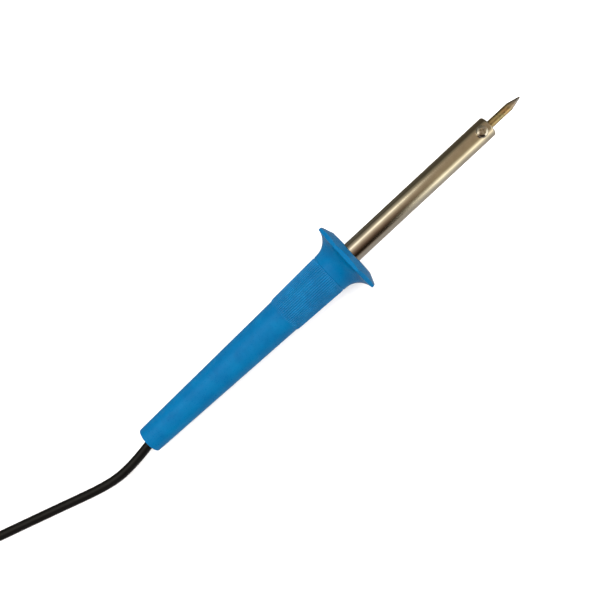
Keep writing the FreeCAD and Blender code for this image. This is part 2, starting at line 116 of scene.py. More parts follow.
class BarrelSizes(bpy.types.PropertyGroup):
    """The steel barrel, its mounting plate and the screws that hold it."""
    radius: size("Radius", 5.0, "Outside radius of the barrel")
    wall: size("Wall", 0.4, "Sheet thickness")
    exposed: size("Exposed length", 82.1, "From the guard to the rolled end")
    roll: size("Roll", 1.3, "Radius of the rolled end")
    inside: size("Inside length", 15.6, "How far the barrel reaches into the handle")
    mouth: size("Mouth radius", 2.6, "Opening round the bit")
    screw_back: size("Screw place", 5.0, "The bit's screw, behind the barrel's end")
    hole_radius: size("Screw hole", 1.65, "Hole in the wall for that screw")
    plate: size("Plate thickness", 1.0, "Mounting plate")
    plate_gap: size("Plate gap", 0.5, "Gap round the plate's edge")
    plate_screws: number("Plate screws", 3, "Screws through the plate")
    plate_circle: size("Screw circle", 7.5, "Radius of the circle they stand on")
    plate_screw: size("Plate screw radius", 1.1, "Their shanks")
    plate_screw_length: size("Plate screw length", 6.5, "Their length under the head")
    plate_head: size("Plate screw head", 2.0, "Radius of their heads")
    plate_head_height: size("Plate head height", 1.5, "Height of their heads")


class BitSizes(bpy.types.PropertyGroup):
    """The bit and the screw that clamps it."""
    radius: size("Radius", 1.9, "Shank radius")
    length: size("Length", 58.5, "Whole length")
    exposed: size("Exposed length", 18.0, "Beyond the barrel")
    cone: size("Cone", 6.0, "Length of the point")
    point: size("Point radius", 0.42, "Rounding of the point")
    chamfer: size("Chamfer", 0.3, "Rear edge")
    screw_radius: size("Screw radius", 1.5, "Clamping screw, over its thread")
    screw_pitch: size("Screw pitch", 0.5, "Pitch of its thread")
    screw_head: size("Screw head radius", 2.75, "Radius of its head")
    screw_head_height: size("Screw head height", 1.9, "Height of its head")
    screw_off_bit: size("Screw clearance", 0.15, "Between the screw's end and the bit")
    washer: size("Washer thickness", 0.7, "Split washer under the head")
    washer_gap: size("Washer gap", 0.06, "Clearance above and below the washer")
    washer_slit: size("Washer slit", 0.5, "Gap between the washer's ends")


class LeadSizes(bpy.types.PropertyGroup):
    """The mains lead, its hank and the tie round it."""
    radius: size("Radius", 2.2, "Radius of the round sheath")
    length: size("Length", 1370.0, "Real length of the lead, from inside the handle to the plug")
    sheath_in: size("Sheath inside", 25.5, "How far the sheath reaches into the handle")
    bend_in: size("Last straight point", 6.5, "Where the lead's first bend starts, inside the mouth")
    lane: size("Lane", 4.5, "From one turn of the hank to the next")
    outer_fold: size("Outer fold", 18.0, "Radius of the outermost turn at its end")
    inner_fold: size("Inner fold", 13.5, "Radius of the innermost turn at its end")
    half_run: size("Half run", 42.0, "Hank's middle to the centre of its end")
    pinch: size("Pinch", 10.9, "How much nearer the middle a turn passes under the tie")
    lift_at_tie: size("Lift at tie", 0.8, "How far the tie holds the turns off the bench")
    tie_width: size("Tie width", 8.0, "Width of the tie")
    tie_thickness: size("Tie thickness", 0.7, "Thickness of the tie")


class PlugSizes(bpy.types.PropertyGroup):
    """The flat two-pin plug."""
    relief: size("Relief length", 18.0, "Tapered strain relief")
    relief_end: size("Relief radius", 5.0, "Its radius at the plug's body")
    relief_rings: number("Relief rings", 4, "Raised rings round it")
    length: size("Body length", 34.0, "Length of the plug's body")
    neck: size("Neck half width", 6.6, "Half width of the body at the relief")
    face: size("Face half width", 17.65, "Half width at the pins")
    half_height: size("Half height", 6.85, "Half height of the body")
    pin_radius: size("Pin radius", 2.0, "Radius of a pin")
    pin_length: size("Pin length", 19.0, "From the face to a pin's end")
    pin_sleeve: size("Sleeve length", 10.0, "Insulated part of a pin")
    pin_spread: size("Pin spread", 9.3, "A pin's distance from the middle")


class Finishes(bpy.types.PropertyGroup):
    """Colours of what shows."""
    handle: colour("Handle", 0, 87, 130, "Blue polypropylene")
    handle_deep: colour("Handle, deeper", 0, 77, 121, "Its darker mottling")
    # Also the lighter colour the ribs are mixed towards: partly wear, partly a painted highlight on
    # their tops.
    handle_worn_and_sheen: colour("Handle edges", 14, 114, 168, "Rubbed edges and rib tops")
    barrel: colour("Barrel", 229, 223, 201, "Plated steel")
    plate: colour("Plate", 172, 170, 164, "Zinc plated sheet")
    screw: colour("Screws", 226, 220, 200, "Plated screws")
    bit: colour("Bit", 178, 160, 112, "Plated copper, warmed by use")
    lead: colour("Lead", 7, 7, 6, "Black sheath")
    plug: colour("Plug", 22, 22, 24, "Black plug")
    pin: colour("Pins", 212, 206, 190, "Nickel plated pins")
    bench: colour("Bench", 250, 250, 250, "Pale bench")


class StudioSizes(bpy.types.PropertyGroup):
    """Where the camera stands."""
    camera_along: size("Camera along", 0.0, "How far the camera is moved along X")
    camera_height: size("Camera height", 445.0, "Camera's height over the bench")


# ---- where things are, from the frame ----
joints = {joint["name"]: joint for joint in frame["joints"]}
ALONG = Vector(joints["tip_slide"]["axis"]).normalized()
UPWARD = Vector(joints["tip_screw_turn"]["axis"]).normalized()
SCREW_SPOT = Vector(joints["tip_screw_turn"]["pos_m"])
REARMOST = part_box("handle")[0].x


def settings(group):
    """The scene's values of one group of sizes or colours."""
    return getattr(bpy.context.scene, "iron_" + group)


def places():
    """Distances along the iron from the handle's rear face, worked out from the sizes."""
    handle, barrel, bit = settings("handle"), settings("barrel"), settings("bit")
    at = {"grip_end": handle.body_length + handle.grip_length}
    at["flare"] = at["grip_end"] + handle.plain_band
    at["rim"] = flare_x(handle.guard_flats / 2)
    hub_radius = handle.recess_radius + handle.hub_ring
    at["hub"] = at["rim"] + handle.guard_rim + (handle.guard_flats / 2 - hub_radius) * FRONT_SLOPE
    at["floor"] = at["hub"] - handle.recess_depth
    at["cavity"] = at["floor"] - handle.front_wall
    at["barrel_end"] = at["hub"] + barrel.exposed
    at["screw"] = at["barrel_end"] - barrel.screw_back
    at["tip_end"] = at["barrel_end"] + bit.exposed
    return at


def flare_x(radius):
    """Where the flare's rear surface stands at a radius."""
    handle = settings("handle")
    start = handle.body_length + handle.grip_length + handle.plain_band
    inward = max(handle.grip_radius + handle.flare_radius - radius, 0.0)
    return start + math.sqrt(max(handle.flare_radius ** 2 - inward ** 2, 0.0))


def on_iron():
    """From the iron's own axis, x = 0 at its rear face, to the frame."""
    rear = SCREW_SPOT - ALONG * places()["screw"]
    across = UPWARD.cross(ALONG)
    turn = Matrix((ALONG, across, UPWARD)).transposed().to_4x4()
    return Matrix.Translation(rear) @ turn


def on_screw(distance):
    """From a screw drawn along +X, its head's seat at x = 0, to the bit screw's place."""
    return on_iron() @ Matrix.Translation((places()["screw"], 0, distance)) @ X_TO_Z


def on_plug():
    """From the plug's axis, x = 0 at its lead end, to the frame."""
    return Matrix.Translation(from_rear(LEAD_TAIL)[-1]) @ Matrix.Rotation(math.pi, 4, "Z")


def from_rear(points):
    """Points given in millimetres from the handle's rearmost point, in the frame."""
    return [Vector((REARMOST + x * MM, y * MM, z * MM)) for x, y, z in points]


# The lead's free points, on the bench behind the handle, and its end at the plug.
LEAD_ROUTE = [(-12.5, -3.1, 3.6), (-27.0, -2.8, 2.2), (-50.5, 4.8, 2.2), (-75.0, 12.6, 2.2),
              (-97.0, 19.5, 2.2)]
LEAD_TAIL = [(-213.5, 20.6, 15.7), (-224.0, 18.5, 14.6), (-238.0, 9.0, 9.8), (-251.0, 3.0, 6.85),
             (-262.0, 3.0, 6.85)]
HANK_CENTRE = (-165.7, 2.8, 0.0)


# ---- mesh helpers ----
def eased(corners, steps=4, closed=True):
    """An outline with its corners rounded, as (x, y, edge) points. A corner is (x, y, radius), and
    edge runs from 0 on a flat stretch to 1 in the middle of a rounded corner."""
    line = []
    count = len(corners)
    for index, (x, y, radius) in enumerate(corners):
        here = Vector((x, y))
        at_end = not closed and index in (0, count - 1)
        if at_end or radius <= 0:
            line.append((x, y, 0.0))
            continue
        back = Vector(corners[index - 1][:2]) - here
        ahead = Vector(corners[(index + 1) % count][:2]) - here
        half = back.angle(ahead) / 2
        reach = min(radius / math.tan(half), 0.48 * back.length, 0.48 * ahead.length)
        middle = (back.normalized() + ahead.normalized()).normalized()
        centre = here + middle * (reach / math.cos(half))
        first = here + back.normalized() * reach - centre
        last = here + ahead.normalized() * reach - centre
        beside = min(1.3 * reach, 0.49 * back.length, 0.49 * ahead.length)
        line.append((*(here + back.normalized() * beside), 0.0))
        for step in range(steps + 1):
            share = step / steps
            arm = first.lerp(last, share)
            spot = centre + arm.normalized() * first.length
            line.append((spot.x, spot.y, math.sin(math.pi * share)))
        line.append((*(here + ahead.normalized() * beside), 0.0))
    return line


def skin(name, rows, edges=None, joined=False, capped=False):
    """A mesh through rows of points, each row a closed ring or one point. joined closes the last
    row to the first, capped closes the end rows with a face, and edges gives each row's edge value."""
    shape = bmesh.new()
    edge_layer = shape.verts.layers.float.new("edge")
    made = []
    for index, row in enumerate(rows):
        ring = [shape.verts.new(point) for point in row]
        for vertex in ring:
            vertex[edge_layer] = edges[index] if edges else 0.0
        made.append(ring)
    pairs = list(zip(made, made[1:]))
    if joined:
        pairs.append((made[-1], made[0]))
    for one, two in pairs:
        count = max(len(one), len(two))
        for step in range(count):
            after = (step + 1) % count
            corners = [one[step % len(one)], one[after % len(one)],
                       two[after % len(two)], two[step % len(two)]]
            shape.faces.new(list(dict.fromkeys(corners)))
    if capped:
        shape.faces.new(made[0])
        shape.faces.new(made[-1])
    bmesh.ops.recalc_face_normals(shape, faces=shape.faces)
    for face in shape.faces:
        face.smooth = len(face.verts) < 5
    mesh = bpy.data.meshes.new(name)
    shape.to_mesh(mesh)
    shape.free()
    return sharpened(mesh)


def sharpened(mesh):
    """The mesh with its edges kept crisp where two faces meet steeply."""
    mesh.set_sharp_from_angle(angle=math.radians(CRISP_FROM))
    return mesh


def shown(name, data):
    """A new object in the scene."""
    made = bpy.data.objects.new(name, data)
    bpy.context.scene.collection.objects.link(made)
    return made


def turned(name, outline, steps=96, joined=True):
    """A mesh turned about the X axis from (x, radius, edge) points."""
    rows = []
    for x, radius, _ in outline:
        count = steps if radius > 1e-7 else 1
        angles = [FULL_TURN * step / steps for step in range(count)]
        rows.append([(x, radius * math.cos(angle), radius * math.sin(angle)) for angle in angles])
    return skin(name, rows, [point[2] for point in outline], joined=joined)


def piece_of(mesh, place, body, slot, surface, *nodes):
    """An object for a finished mesh: put in place, given its finish and tied to its body."""
    mesh.transform(place)
    mesh.materials.clear()
    mesh.materials.append(surface)
    made = shown(mesh.name, mesh)
    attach(made, body)
    if nodes:
        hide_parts(*nodes)


def cut_from(mesh, *cutters):
    """The mesh with the cutters' meshes taken out of it."""
    name = mesh.name
    body = shown("blank", mesh)
    tools = [shown("cutter", cutter) for cutter in cutters]
    for tool in tools:
        cut = body.modifiers.new("cut", "BOOLEAN")
        cut.operation = "DIFFERENCE"
        cut.solver = "EXACT"
        cut.object = tool
    result = baked(body, name)
    for tool in tools:
        bpy.data.objects.remove(tool)
    return result


def baked(made, name):
    """The evaluated mesh of an object, which is then removed."""
    graph = bpy.context.evaluated_depsgraph_get()
    graph.update()
    mesh = bpy.data.meshes.new_from_object(made.evaluated_get(graph))
    blank = made.data
    bpy.data.objects.remove(made)
    bpy.data.meshes.remove(blank)
    mesh.name = name
    return mesh


# ---- geometry node helpers ----
def node(tree, kind, inputs=None, **values):
    """A node with its fields set, and its inputs set or joined by name or number."""
    made = tree.nodes.new(kind)
    for field, value in values.items():
        setattr(made, field, value)
    for socket, value in (inputs or {}).items():
        target = made.inputs[socket]
        if isinstance(value, bpy.types.NodeSocket):
            tree.links.new(value, target)
        else:
            target.default_value = value
    return made


def worked(tree, how, one, two):
    """One number worked out from two."""
    return node(tree, "ShaderNodeMath", {0: one, 1: two}, operation=how).outputs[0]


def vector(tree, **parts):
    """A vector put together from its X, Y and Z."""
    return node(tree, "ShaderNodeCombineXYZ", parts).outputs[0]


def remapped(tree, value, low, high, to_low=0.0, to_high=1.0):
    """A number moved from one range to another, and held inside it."""
    return node(tree, "ShaderNodeMapRange", {"Value": value, "From Min": low, "From Max": high,
                                             "To Min": to_low, "To Max": to_high}).outputs[0]


def repeat_tree(name, floats, wants_form=False):
    """An empty geometry tree with named sizes, and its input and output nodes."""
    tree = bpy.data.node_groups.new(name, "GeometryNodeTree")
    tree.interface.new_socket("Geometry", in_out="OUTPUT", socket_type="NodeSocketGeometry")
    tree.interface.new_socket("Geometry", in_out="INPUT", socket_type="NodeSocketGeometry")
    tree.interface.new_socket("Count", in_out="INPUT", socket_type="NodeSocketInt")
    tree.interface.new_socket("Finish", in_out="INPUT", socket_type="NodeSocketMaterial")
    if wants_form:
        tree.interface.new_socket("Form", in_out="INPUT", socket_type="NodeSocketObject")
    for title in floats:
        tree.interface.new_socket(title, in_out="INPUT", socket_type="NodeSocketFloat")
    return tree, tree.nodes.new("NodeGroupInput"), tree.nodes.new("NodeGroupOutput")


def end_tree(tree, given, out, instances):
    """Realise, smooth and finish what the tree made."""
    real = node(tree, "GeometryNodeRealizeInstances", {0: instances})
    smooth = node(tree, "GeometryNodeSetShadeSmooth", {"Geometry": real.outputs[0]})
    finished = node(tree, "GeometryNodeSetMaterial",
                    {"Geometry": smooth.outputs[0], "Material": given.outputs["Finish"]})
    tree.links.new(finished.outputs[0], out.inputs[0])


def repeated(name, tree, values):
    """The plain mesh that a geometry tree makes with these inputs."""
    carrier = shown(name, bpy.data.meshes.new(name))
    work = carrier.modifiers.new(name, "NODES")
    work.node_group = tree
    for item in tree.interface.items_tree:
        if item.in_out == "INPUT" and item.name in values:
            work[item.identifier] = values[item.name]
    return baked(carrier, name)


def round_the_axis(tree, given, form):
    """A form repeated round the X axis, turned by an equal share of a full turn each time."""
    count = given.outputs["Count"]
    points = node(tree, "GeometryNodePoints", {"Count": count})
    share = worked(tree, "DIVIDE", node(tree, "GeometryNodeInputIndex").outputs[0], count)
    turn = vector(tree, X=worked(tree, "MULTIPLY", share, FULL_TURN))
    return node(tree, "GeometryNodeInstanceOnPoints",
                {"Points": points.outputs[0], "Instance": form, "Rotation": turn}).outputs[0]


def ribs_tree():
    """Ribs along the grip: each is a round bar, half sunk, whose ends dip into the grip."""
    tree, given, out = repeat_tree("ribs round the grip", ["Start", "End", "Rear radius",
                                                           "Front radius", "Width", "Depth"])
    sizes = given.outputs
    points_along, points_round, dip_share = 29, 10, 0.04
    line = node(tree, "GeometryNodeCurvePrimitiveLine",
                {"Start": vector(tree, X=sizes["Start"], Z=sizes["Rear radius"]),
                 "End": vector(tree, X=sizes["End"], Z=sizes["Front radius"])})
    fine = node(tree, "GeometryNodeResampleCurve", {"Curve": line.outputs[0], "Count": points_along})
    along = node(tree, "GeometryNodeSplineParameter").outputs["Factor"]
    near_end = worked(tree, "PINGPONG", along, 0.5)
    dip = remapped(tree, near_end, 0.0, dip_share, 1.0, 0.0)
    lower = worked(tree, "MULTIPLY", worked(tree, "MULTIPLY", dip, sizes["Depth"]), -1.0)
    dipped = node(tree, "GeometryNodeSetPosition",
                  {"Geometry": fine.outputs[0], "Offset": vector(tree, Z=lower)})
    half = worked(tree, "MULTIPLY", sizes["Width"], 0.5)
    section = node(tree, "GeometryNodeCurvePrimitiveCircle",
                   {"Resolution": points_round, "Radius": half})
    bar = node(tree, "GeometryNodeCurveToMesh", {"Curve": dipped.outputs[0],
                                                 "Profile Curve": section.outputs[0], "Fill Caps": True})
    end_tree(tree, given, out, round_the_axis(tree, given, bar.outputs[0]))
    return tree


def ring_of_forms_tree():
    """A form set off the axis and repeated round it."""
    tree, given, out = repeat_tree("forms round the axis", ["Along", "Off axis"], wants_form=True)
    form = node(tree, "GeometryNodeObjectInfo", {"Object": given.outputs["Form"]})
    offset = vector(tree, X=given.outputs["Along"], Z=given.outputs["Off axis"])
    moved = node(tree, "GeometryNodeTransform", {"Geometry": form.outputs["Geometry"],
                                                 "Translation": offset})
    end_tree(tree, given, out, round_the_axis(tree, given, moved.outputs[0]))
    return tree


def relief_rings_tree():
    """Rings round a tapered relief, each as wide as the relief is there."""
    tree, given, out = repeat_tree("rings round the relief", ["Length", "Thin radius", "Thick radius",
                                                              "Bead"])
    sizes = given.outputs
    points_round_ring, points_round_bead = 64, 12
    line = node(tree, "GeometryNodePoints", {"Count": sizes["Count"]})
    place_in_line = worked(tree, "ADD", node(tree, "GeometryNodeInputIndex").outputs[0], 1.0)
    share = worked(tree, "DIVIDE", place_in_line, worked(tree, "ADD", sizes["Count"], 1.0))
    along = worked(tree, "MULTIPLY", share, sizes["Length"])
    set_out = node(tree, "GeometryNodeSetPosition", {"Geometry": line.outputs[0],
                                                     "Position": vector(tree, X=along)})
    radius = remapped(tree, share, 0.0, 1.0, sizes["Thin radius"], sizes["Thick radius"])
    wide = worked(tree, "DIVIDE", radius, sizes["Thick radius"])
    hoop = node(tree, "GeometryNodeCurvePrimitiveCircle", {"Resolution": points_round_ring,
                                                           "Radius": sizes["Thick radius"]})
    bead = node(tree, "GeometryNodeCurvePrimitiveCircle", {"Resolution": points_round_bead,
                                                           "Radius": sizes["Bead"]})
    ring = node(tree, "GeometryNodeCurveToMesh", {"Curve": hoop.outputs[0],
                                                  "Profile Curve": bead.outputs[0]})
    upright = node(tree, "GeometryNodeTransform", {"Geometry": ring.outputs[0],
                                                   "Rotation": (0.0, math.pi / 2, 0.0)})
    rings = node(tree, "GeometryNodeInstanceOnPoints", {"Points": set_out.outputs[0],
                                                        "Instance": upright.outputs[0], "Scale": wide})
    end_tree(tree, given, out, rings.outputs[0])
    return tree


# ---- shader helpers ----
NOISE_LOW, NOISE_HIGH = 0.3, 0.7
PLASTIC_IOR = 1.49
THREAD_HEIGHT = 0.2 * MM
MIX_AMOUNT, MIX_FIRST, MIX_SECOND, MIX_RESULT = 0, 6, 7, 2     # the mix node's sockets for colours


def fresh(name, roughness, metallic=0.0, **sockets):
    """A new material's tree and shader, with constants on the shader's own sockets."""
    made = bpy.data.materials.new(name)
    made.use_nodes = True
    shader = made.node_tree.nodes["Principled BSDF"]
    shader.inputs["Roughness"].default_value = roughness
    shader.inputs["Metallic"].default_value = metallic
    for socket, value in sockets.items():
        shader.inputs[socket.replace("_", " ")].default_value = value
    return made, made.node_tree, shader


def joined_up(tree, shader, **sockets):
    """Joins what changes over the surface to the shader's sockets."""
    for socket, value in sockets.items():
        tree.links.new(value, shader.inputs[socket.replace("_", " ")])


def shader_group(name, inputs, outputs):
    """An empty shader group with named inputs and outputs."""
    tree = bpy.data.node_groups.new(name, "ShaderNodeTree")
    for title, kind in inputs.items():
        tree.interface.new_socket(title, in_out="INPUT", socket_type="NodeSocket" + kind)
    for title, kind in outputs.items():
        tree.interface.new_socket(title, in_out="OUTPUT", socket_type="NodeSocket" + kind)
    return tree, tree.nodes.new("NodeGroupInput"), tree.nodes.new("NodeGroupOutput")


def placed(tree, name, inputs):
    """A shader group set into a material, with this material's own values."""
    return node(tree, "ShaderNodeGroup", inputs, node_tree=bpy.data.node_groups[name])


def here(tree):
    """The place on the piece, in metres."""
    return node(tree, "ShaderNodeTexCoord").outputs["Object"]


def noise(tree, place, scale, detail=2.0, roughness=0.5):
    """Cloudy noise from 0 to 1, most of it from NOISE_LOW to NOISE_HIGH."""
    return node(tree, "ShaderNodeTexNoise", {"Vector": place, "Scale": scale, "Detail": detail,
                                             "Roughness": roughness}).outputs[0]


def from_noise(tree, value, to_low=0.0, to_high=1.0):
    """Noise's usual range moved to another."""
    return remapped(tree, value, NOISE_LOW, NOISE_HIGH, to_low, to_high)


def bumped(tree, height, strength, distance):
    """A normal that follows a height."""
    return node(tree, "ShaderNodeBump", {"Height": height, "Strength": strength,
                                         "Distance": distance}).outputs[0]


def down_iron(tree):
    """The place on the piece along and round the iron's own axis, in metres."""
    place = on_iron()
    back = {"Vector": here(tree), "Location": place.translation, "Rotation": place.to_euler()}
    return node(tree, "ShaderNodeMapping", back, vector_type="TEXTURE").outputs[0]


def blended(tree, amount, one, two, mode="MIX"):
    """Two colours mixed by an amount."""
    made = node(tree, "ShaderNodeMix", {MIX_AMOUNT: amount}, data_type="RGBA", blend_type=mode)
    for socket, value in ((MIX_FIRST, one), (MIX_SECOND, two)):
        if isinstance(value, bpy.types.NodeSocket):
            tree.links.new(value, made.inputs[socket])
        else:
            made.inputs[socket].default_value = (*value[:3], 1.0)
    return made.outputs[MIX_RESULT]


def graded(tree, value, stops):
    """A colour ramp from (place, red, green, blue) stops."""
    ramp = node(tree, "ShaderNodeValToRGB", {"Fac": value})
    band = ramp.color_ramp
    while len(band.elements) < len(stops):
        band.elements.new(0.5)
    for element, (spot, *rgb) in zip(band.elements, stops):
        element.position = spot
        element.color = (*rgb, 1.0)
    return ramp.outputs["Color"]


def make_groups():
    """The effects that several finishes share."""
    grain_height, line_height = 0.1 * MM, 0.05 * MM
    takes = {"Place": "Vector", "Scale": "Float", "Depth": "Float"}
    tree, given, out = shader_group("fine grain", takes, {"Tone": "Float", "Normal": "Vector"})
    fine = noise(tree, given.outputs["Place"], given.outputs["Scale"], detail=4.0)
    joined_up(tree, out, Tone=fine, Normal=bumped(tree, fine, given.outputs["Depth"], grain_height))

    tree, given, out = shader_group("rubbed edges", {"Place": "Vector", "Amount": "Float"},
                                    {"Mask": "Float"})
    edge = node(tree, "ShaderNodeAttribute", attribute_name="edge").outputs["Fac"]
    patch = noise(tree, given.outputs["Place"], scale=420.0, detail=3.0)
    uneven = remapped(tree, patch, 0.35, 0.65, 0.15, 1.0)
    rubbed = worked(tree, "MULTIPLY", edge, uneven)
    joined_up(tree, out, Mask=worked(tree, "MULTIPLY", rubbed, given.outputs["Amount"]))

    tree, given, out = shader_group("drawn lines", {"Place": "Vector", "Along": "Float",
                                                    "Across": "Float", "Depth": "Float"},
                                    {"Tone": "Float", "Normal": "Vector"})
    along, across = given.outputs["Along"], given.outputs["Across"]
    pulled = node(tree, "ShaderNodeVectorMath",
                  {0: given.outputs["Place"], 1: vector(tree, X=along, Y=across, Z=across)},
                  operation="MULTIPLY")
    streak = noise(tree, pulled.outputs[0], scale=1.0, detail=5.0)
    joined_up(tree, out, Tone=streak, Normal=bumped(tree, streak, given.outputs["Depth"], line_height))


def blue_plastic(name, gloss, shine, wear_and_sheen):
    """Blue plastic, faintly mottled, worn lighter where it is rubbed and a little all over; on the ribs
    the lighter mix is also a painted highlight.
    """
    finish = settings("finishes")
    made, tree, shader = fresh(name, gloss, IOR=PLASTIC_IOR, Specular_IOR_Level=shine)
    place = here(tree)
    cloud = from_noise(tree, noise(tree, place, scale=130.0, detail=3.0))
    mottled = blended(tree, cloud, finish.handle, finish.handle_deep)
    # Lighter patches: scuffs on the body, and on the ribs also a painted highlight.
    scuffs_and_sheen = remapped(tree, noise(tree, place, scale=300.0, detail=4.0), 0.4, 0.7, *wear_and_sheen)
    scuffed_and_sheened = blended(tree, scuffs_and_sheen, mottled, finish.handle_worn_and_sheen)
    rubbed = placed(tree, "rubbed edges", {"Place": place, "Amount": 0.45})
    grain = placed(tree, "fine grain", {"Place": place, "Scale": 1500.0, "Depth": 0.22})
    joined_up(tree, shader,
              Base_Color=blended(tree, rubbed.outputs["Mask"], scuffed_and_sheened, finish.handle_worn_and_sheen),
              Roughness=from_noise(tree, grain.outputs["Tone"], gloss * 0.86, gloss * 1.16),
              Normal=grain.outputs["Normal"])
    return made


def handle_blue(name):
    """Moulded finish of the body and the guard."""
    return blue_plastic(name, gloss=0.3, shine=0.08, wear_and_sheen=(0.0, 0.06))


def rib_blue(name):
    """The ribs are mixed lighter: wear from the hand, and a painted highlight for the glints along their
    tops.
    """
    return blue_plastic(name, gloss=0.22, shine=0.4, wear_and_sheen=(0.1, 0.4))


def drawn_metal(name, base, roughness, warm=None, lengthwise=60.0, across=5200.0, depth=0.12):
    """Bright metal with fine drawn lines, clouded a little, and rubbed edges. warm is where its heat
    tint starts and ends along the iron, and the tint's stops between them."""
    made, tree, shader = fresh(name, roughness, metallic=1.0)
    place = down_iron(tree)
    lines = placed(tree, "drawn lines", {"Place": place, "Along": lengthwise, "Across": across,
                                         "Depth": depth})
    cloud = noise(tree, place, scale=190.0, detail=4.0)
    darker = [channel * 0.78 for channel in base]
    shade = blended(tree, remapped(tree, cloud, 0.35, 0.75, 0.0, 0.7), base, darker)
    if warm:
        start, end, stops = warm
        along = node(tree, "ShaderNodeSeparateXYZ", {"Vector": place}).outputs["X"]
        tint = graded(tree, remapped(tree, along, start, end), stops)
        shade = blended(tree, 1.0, shade, tint, mode="MULTIPLY")
    rubbed = placed(tree, "rubbed edges", {"Place": place, "Amount": 0.5})
    lighter = [min(channel * 1.15, 1.0) for channel in base]
    rough = from_noise(tree, lines.outputs["Tone"], roughness * 0.86, roughness * 1.14)
    joined_up(tree, shader, Base_Color=blended(tree, rubbed.outputs["Mask"], shade, lighter),
              Roughness=worked(tree, "MULTIPLY", rough, from_noise(tree, cloud, 0.85, 1.25)),
              Normal=lines.outputs["Normal"])
    return made


# The barrel's tints from the guard to its mouth.
BARREL_TINTS = [(0.0, 0.97, 0.95, 0.97), (0.35, 1.0, 0.99, 0.96), (0.7, 1.0, 0.97, 0.9),
                (0.9, 0.99, 0.93, 0.84), (1.0, 0.92, 0.87, 0.8)]


def barrel_metal(name):
    """Plated steel, straw coloured where it gets hottest."""
    at = places()
    return drawn_metal(name, settings("finishes").barrel, 0.075,
                       warm=(at["hub"], at["barrel_end"], BARREL_TINTS))


def plate_metal(name):
    """Zinc plated sheet."""
    return drawn_metal(name, settings("finishes").plate, 0.32, lengthwise=300.0, across=900.0, depth=0.2)


def screw_metal(name):
    """Bright plated screws."""
    return drawn_metal(name, settings("finishes").screw, 0.17, lengthwise=900.0, across=900.0, depth=0.2)


# The bit's colours from the barrel to its point.
BIT_TINTS = [(0.0, 0.50, 0.40, 0.20), (0.14, 0.66, 0.52, 0.24), (0.34, 0.58, 0.52, 0.26),
             (0.52, 0.70, 0.48, 0.22), (0.64, 0.62, 0.54, 0.30), (0.74, 0.62, 0.58, 0.46),
             (0.86, 0.42, 0.42, 0.41)]


def bit_metal(name):
    """Plated copper, heat tinted, with a tinned point."""
    finish, at = settings("finishes"), places()
    made, tree, shader = fresh(name, 0.3, metallic=1.0)
    place = down_iron(tree)
    drawn = {"Place": place, "Along": 5200.0, "Across": 260.0, "Depth": 0.35}
    lines = placed(tree, "drawn lines", drawn)
    smear = noise(tree, place, scale=330.0, detail=6.0, roughness=0.65)
    along = node(tree, "ShaderNodeSeparateXYZ", {"Vector": place}).outputs["X"]
    wandering = worked(tree, "ADD", along, from_noise(tree, smear, -1.6 * MM, 1.6 * MM))
    tint = graded(tree, remapped(tree, wandering, at["barrel_end"], at["tip_end"]), BIT_TINTS)
    warm = remapped(tree, smear, 0.45, 0.8, 0.0, 0.55)
    tint = blended(tree, warm, tint, (0.78, 0.46, 0.18))
    soot = remapped(tree, noise(tree, place, scale=900.0, detail=5.0), 0.52, 0.72, 0.0, 0.6)
    tint = blended(tree, soot, tint, (0.13, 0.10, 0.07))
    rubbed = placed(tree, "rubbed edges", {"Place": place, "Amount": 0.4})
    joined_up(tree, shader, Base_Color=blended(tree, rubbed.outputs["Mask"], tint, finish.bit),
              Roughness=from_noise(tree, smear, 0.2, 0.42), Normal=lines.outputs["Normal"])
    return made


def moulded(name, base, roughness, lighter=1.8, scale=1400.0, depth=0.3, shine=0.5):
    """Plastic or rubber with a fine moulded grain and faint clouding."""
    made, tree, shader = fresh(name, roughness, Specular_IOR_Level=shine)
    place = here(tree)
    grain = placed(tree, "fine grain", {"Place": place, "Scale": scale, "Depth": depth})
    cloud = remapped(tree, noise(tree, place, scale=95.0, detail=3.0), 0.4, 0.75, 0.0, 0.6)
    second = [min(channel * lighter, 1.0) for channel in base]
    worn = [min(channel * lighter + 0.03, 1.0) for channel in base]
    rubbed = placed(tree, "rubbed edges", {"Place": place, "Amount": 0.35})
    joined_up(tree, shader,
              Base_Color=blended(tree, rubbed.outputs["Mask"], blended(tree, cloud, base, second), worn),
              Roughness=from_noise(tree, grain.outputs["Tone"], roughness * 0.85, roughness * 1.15),
              Normal=grain.outputs["Normal"])
    return made


def lead_black(name):
    """Smooth sheath of the lead."""
    return moulded(name, settings("finishes").lead, 0.33, scale=1100.0, depth=0.12, shine=0.3)


def plug_black(name):
    """Grained plastic of the plug."""
    return moulded(name, settings("finishes").plug, 0.46, scale=1300.0, depth=0.5)


def crossed(tree, one, two):
    """Two runs of threads laid over each other, the higher one on top."""
    return worked(tree, "MAXIMUM", one, two)


def strap_black(name):
    """Woven nylon strap."""
    made, tree, shader = fresh(name, 0.7)
    waves = [node(tree, "ShaderNodeTexWave", {"Vector": here(tree), "Scale": 420.0, "Distortion": 0.6,
                                              "Detail": 1.0}, bands_direction=way).outputs[1]
             for way in ("X", "Y")]
    weave = crossed(tree, *waves)
    joined_up(tree, shader, Base_Color=blended(tree, weave, (0.004, 0.004, 0.004), (0.028, 0.028, 0.03)),
              Normal=bumped(tree, weave, 0.6, THREAD_HEIGHT))
    return made


def pin_metal(name):
    """Nickel plated pins."""
    return drawn_metal(name, settings("finishes").pin, 0.22, lengthwise=200.0, across=3000.0)


def bench_white(name):
    """Pale laminate with the faintest mottling."""
    base = settings("finishes").bench
    made, tree, shader = fresh(name, 0.6)
    cloud = from_noise(tree, noise(tree, here(tree), scale=14.0))
    joined_up(tree, shader, Base_Color=blended(tree, cloud, base, [channel * 0.985 for channel in base]))
    return made


def in_finish(name, make):
    """A finish by name, made the first time it is asked for."""
    return bpy.data.materials.get(name) or make(name)


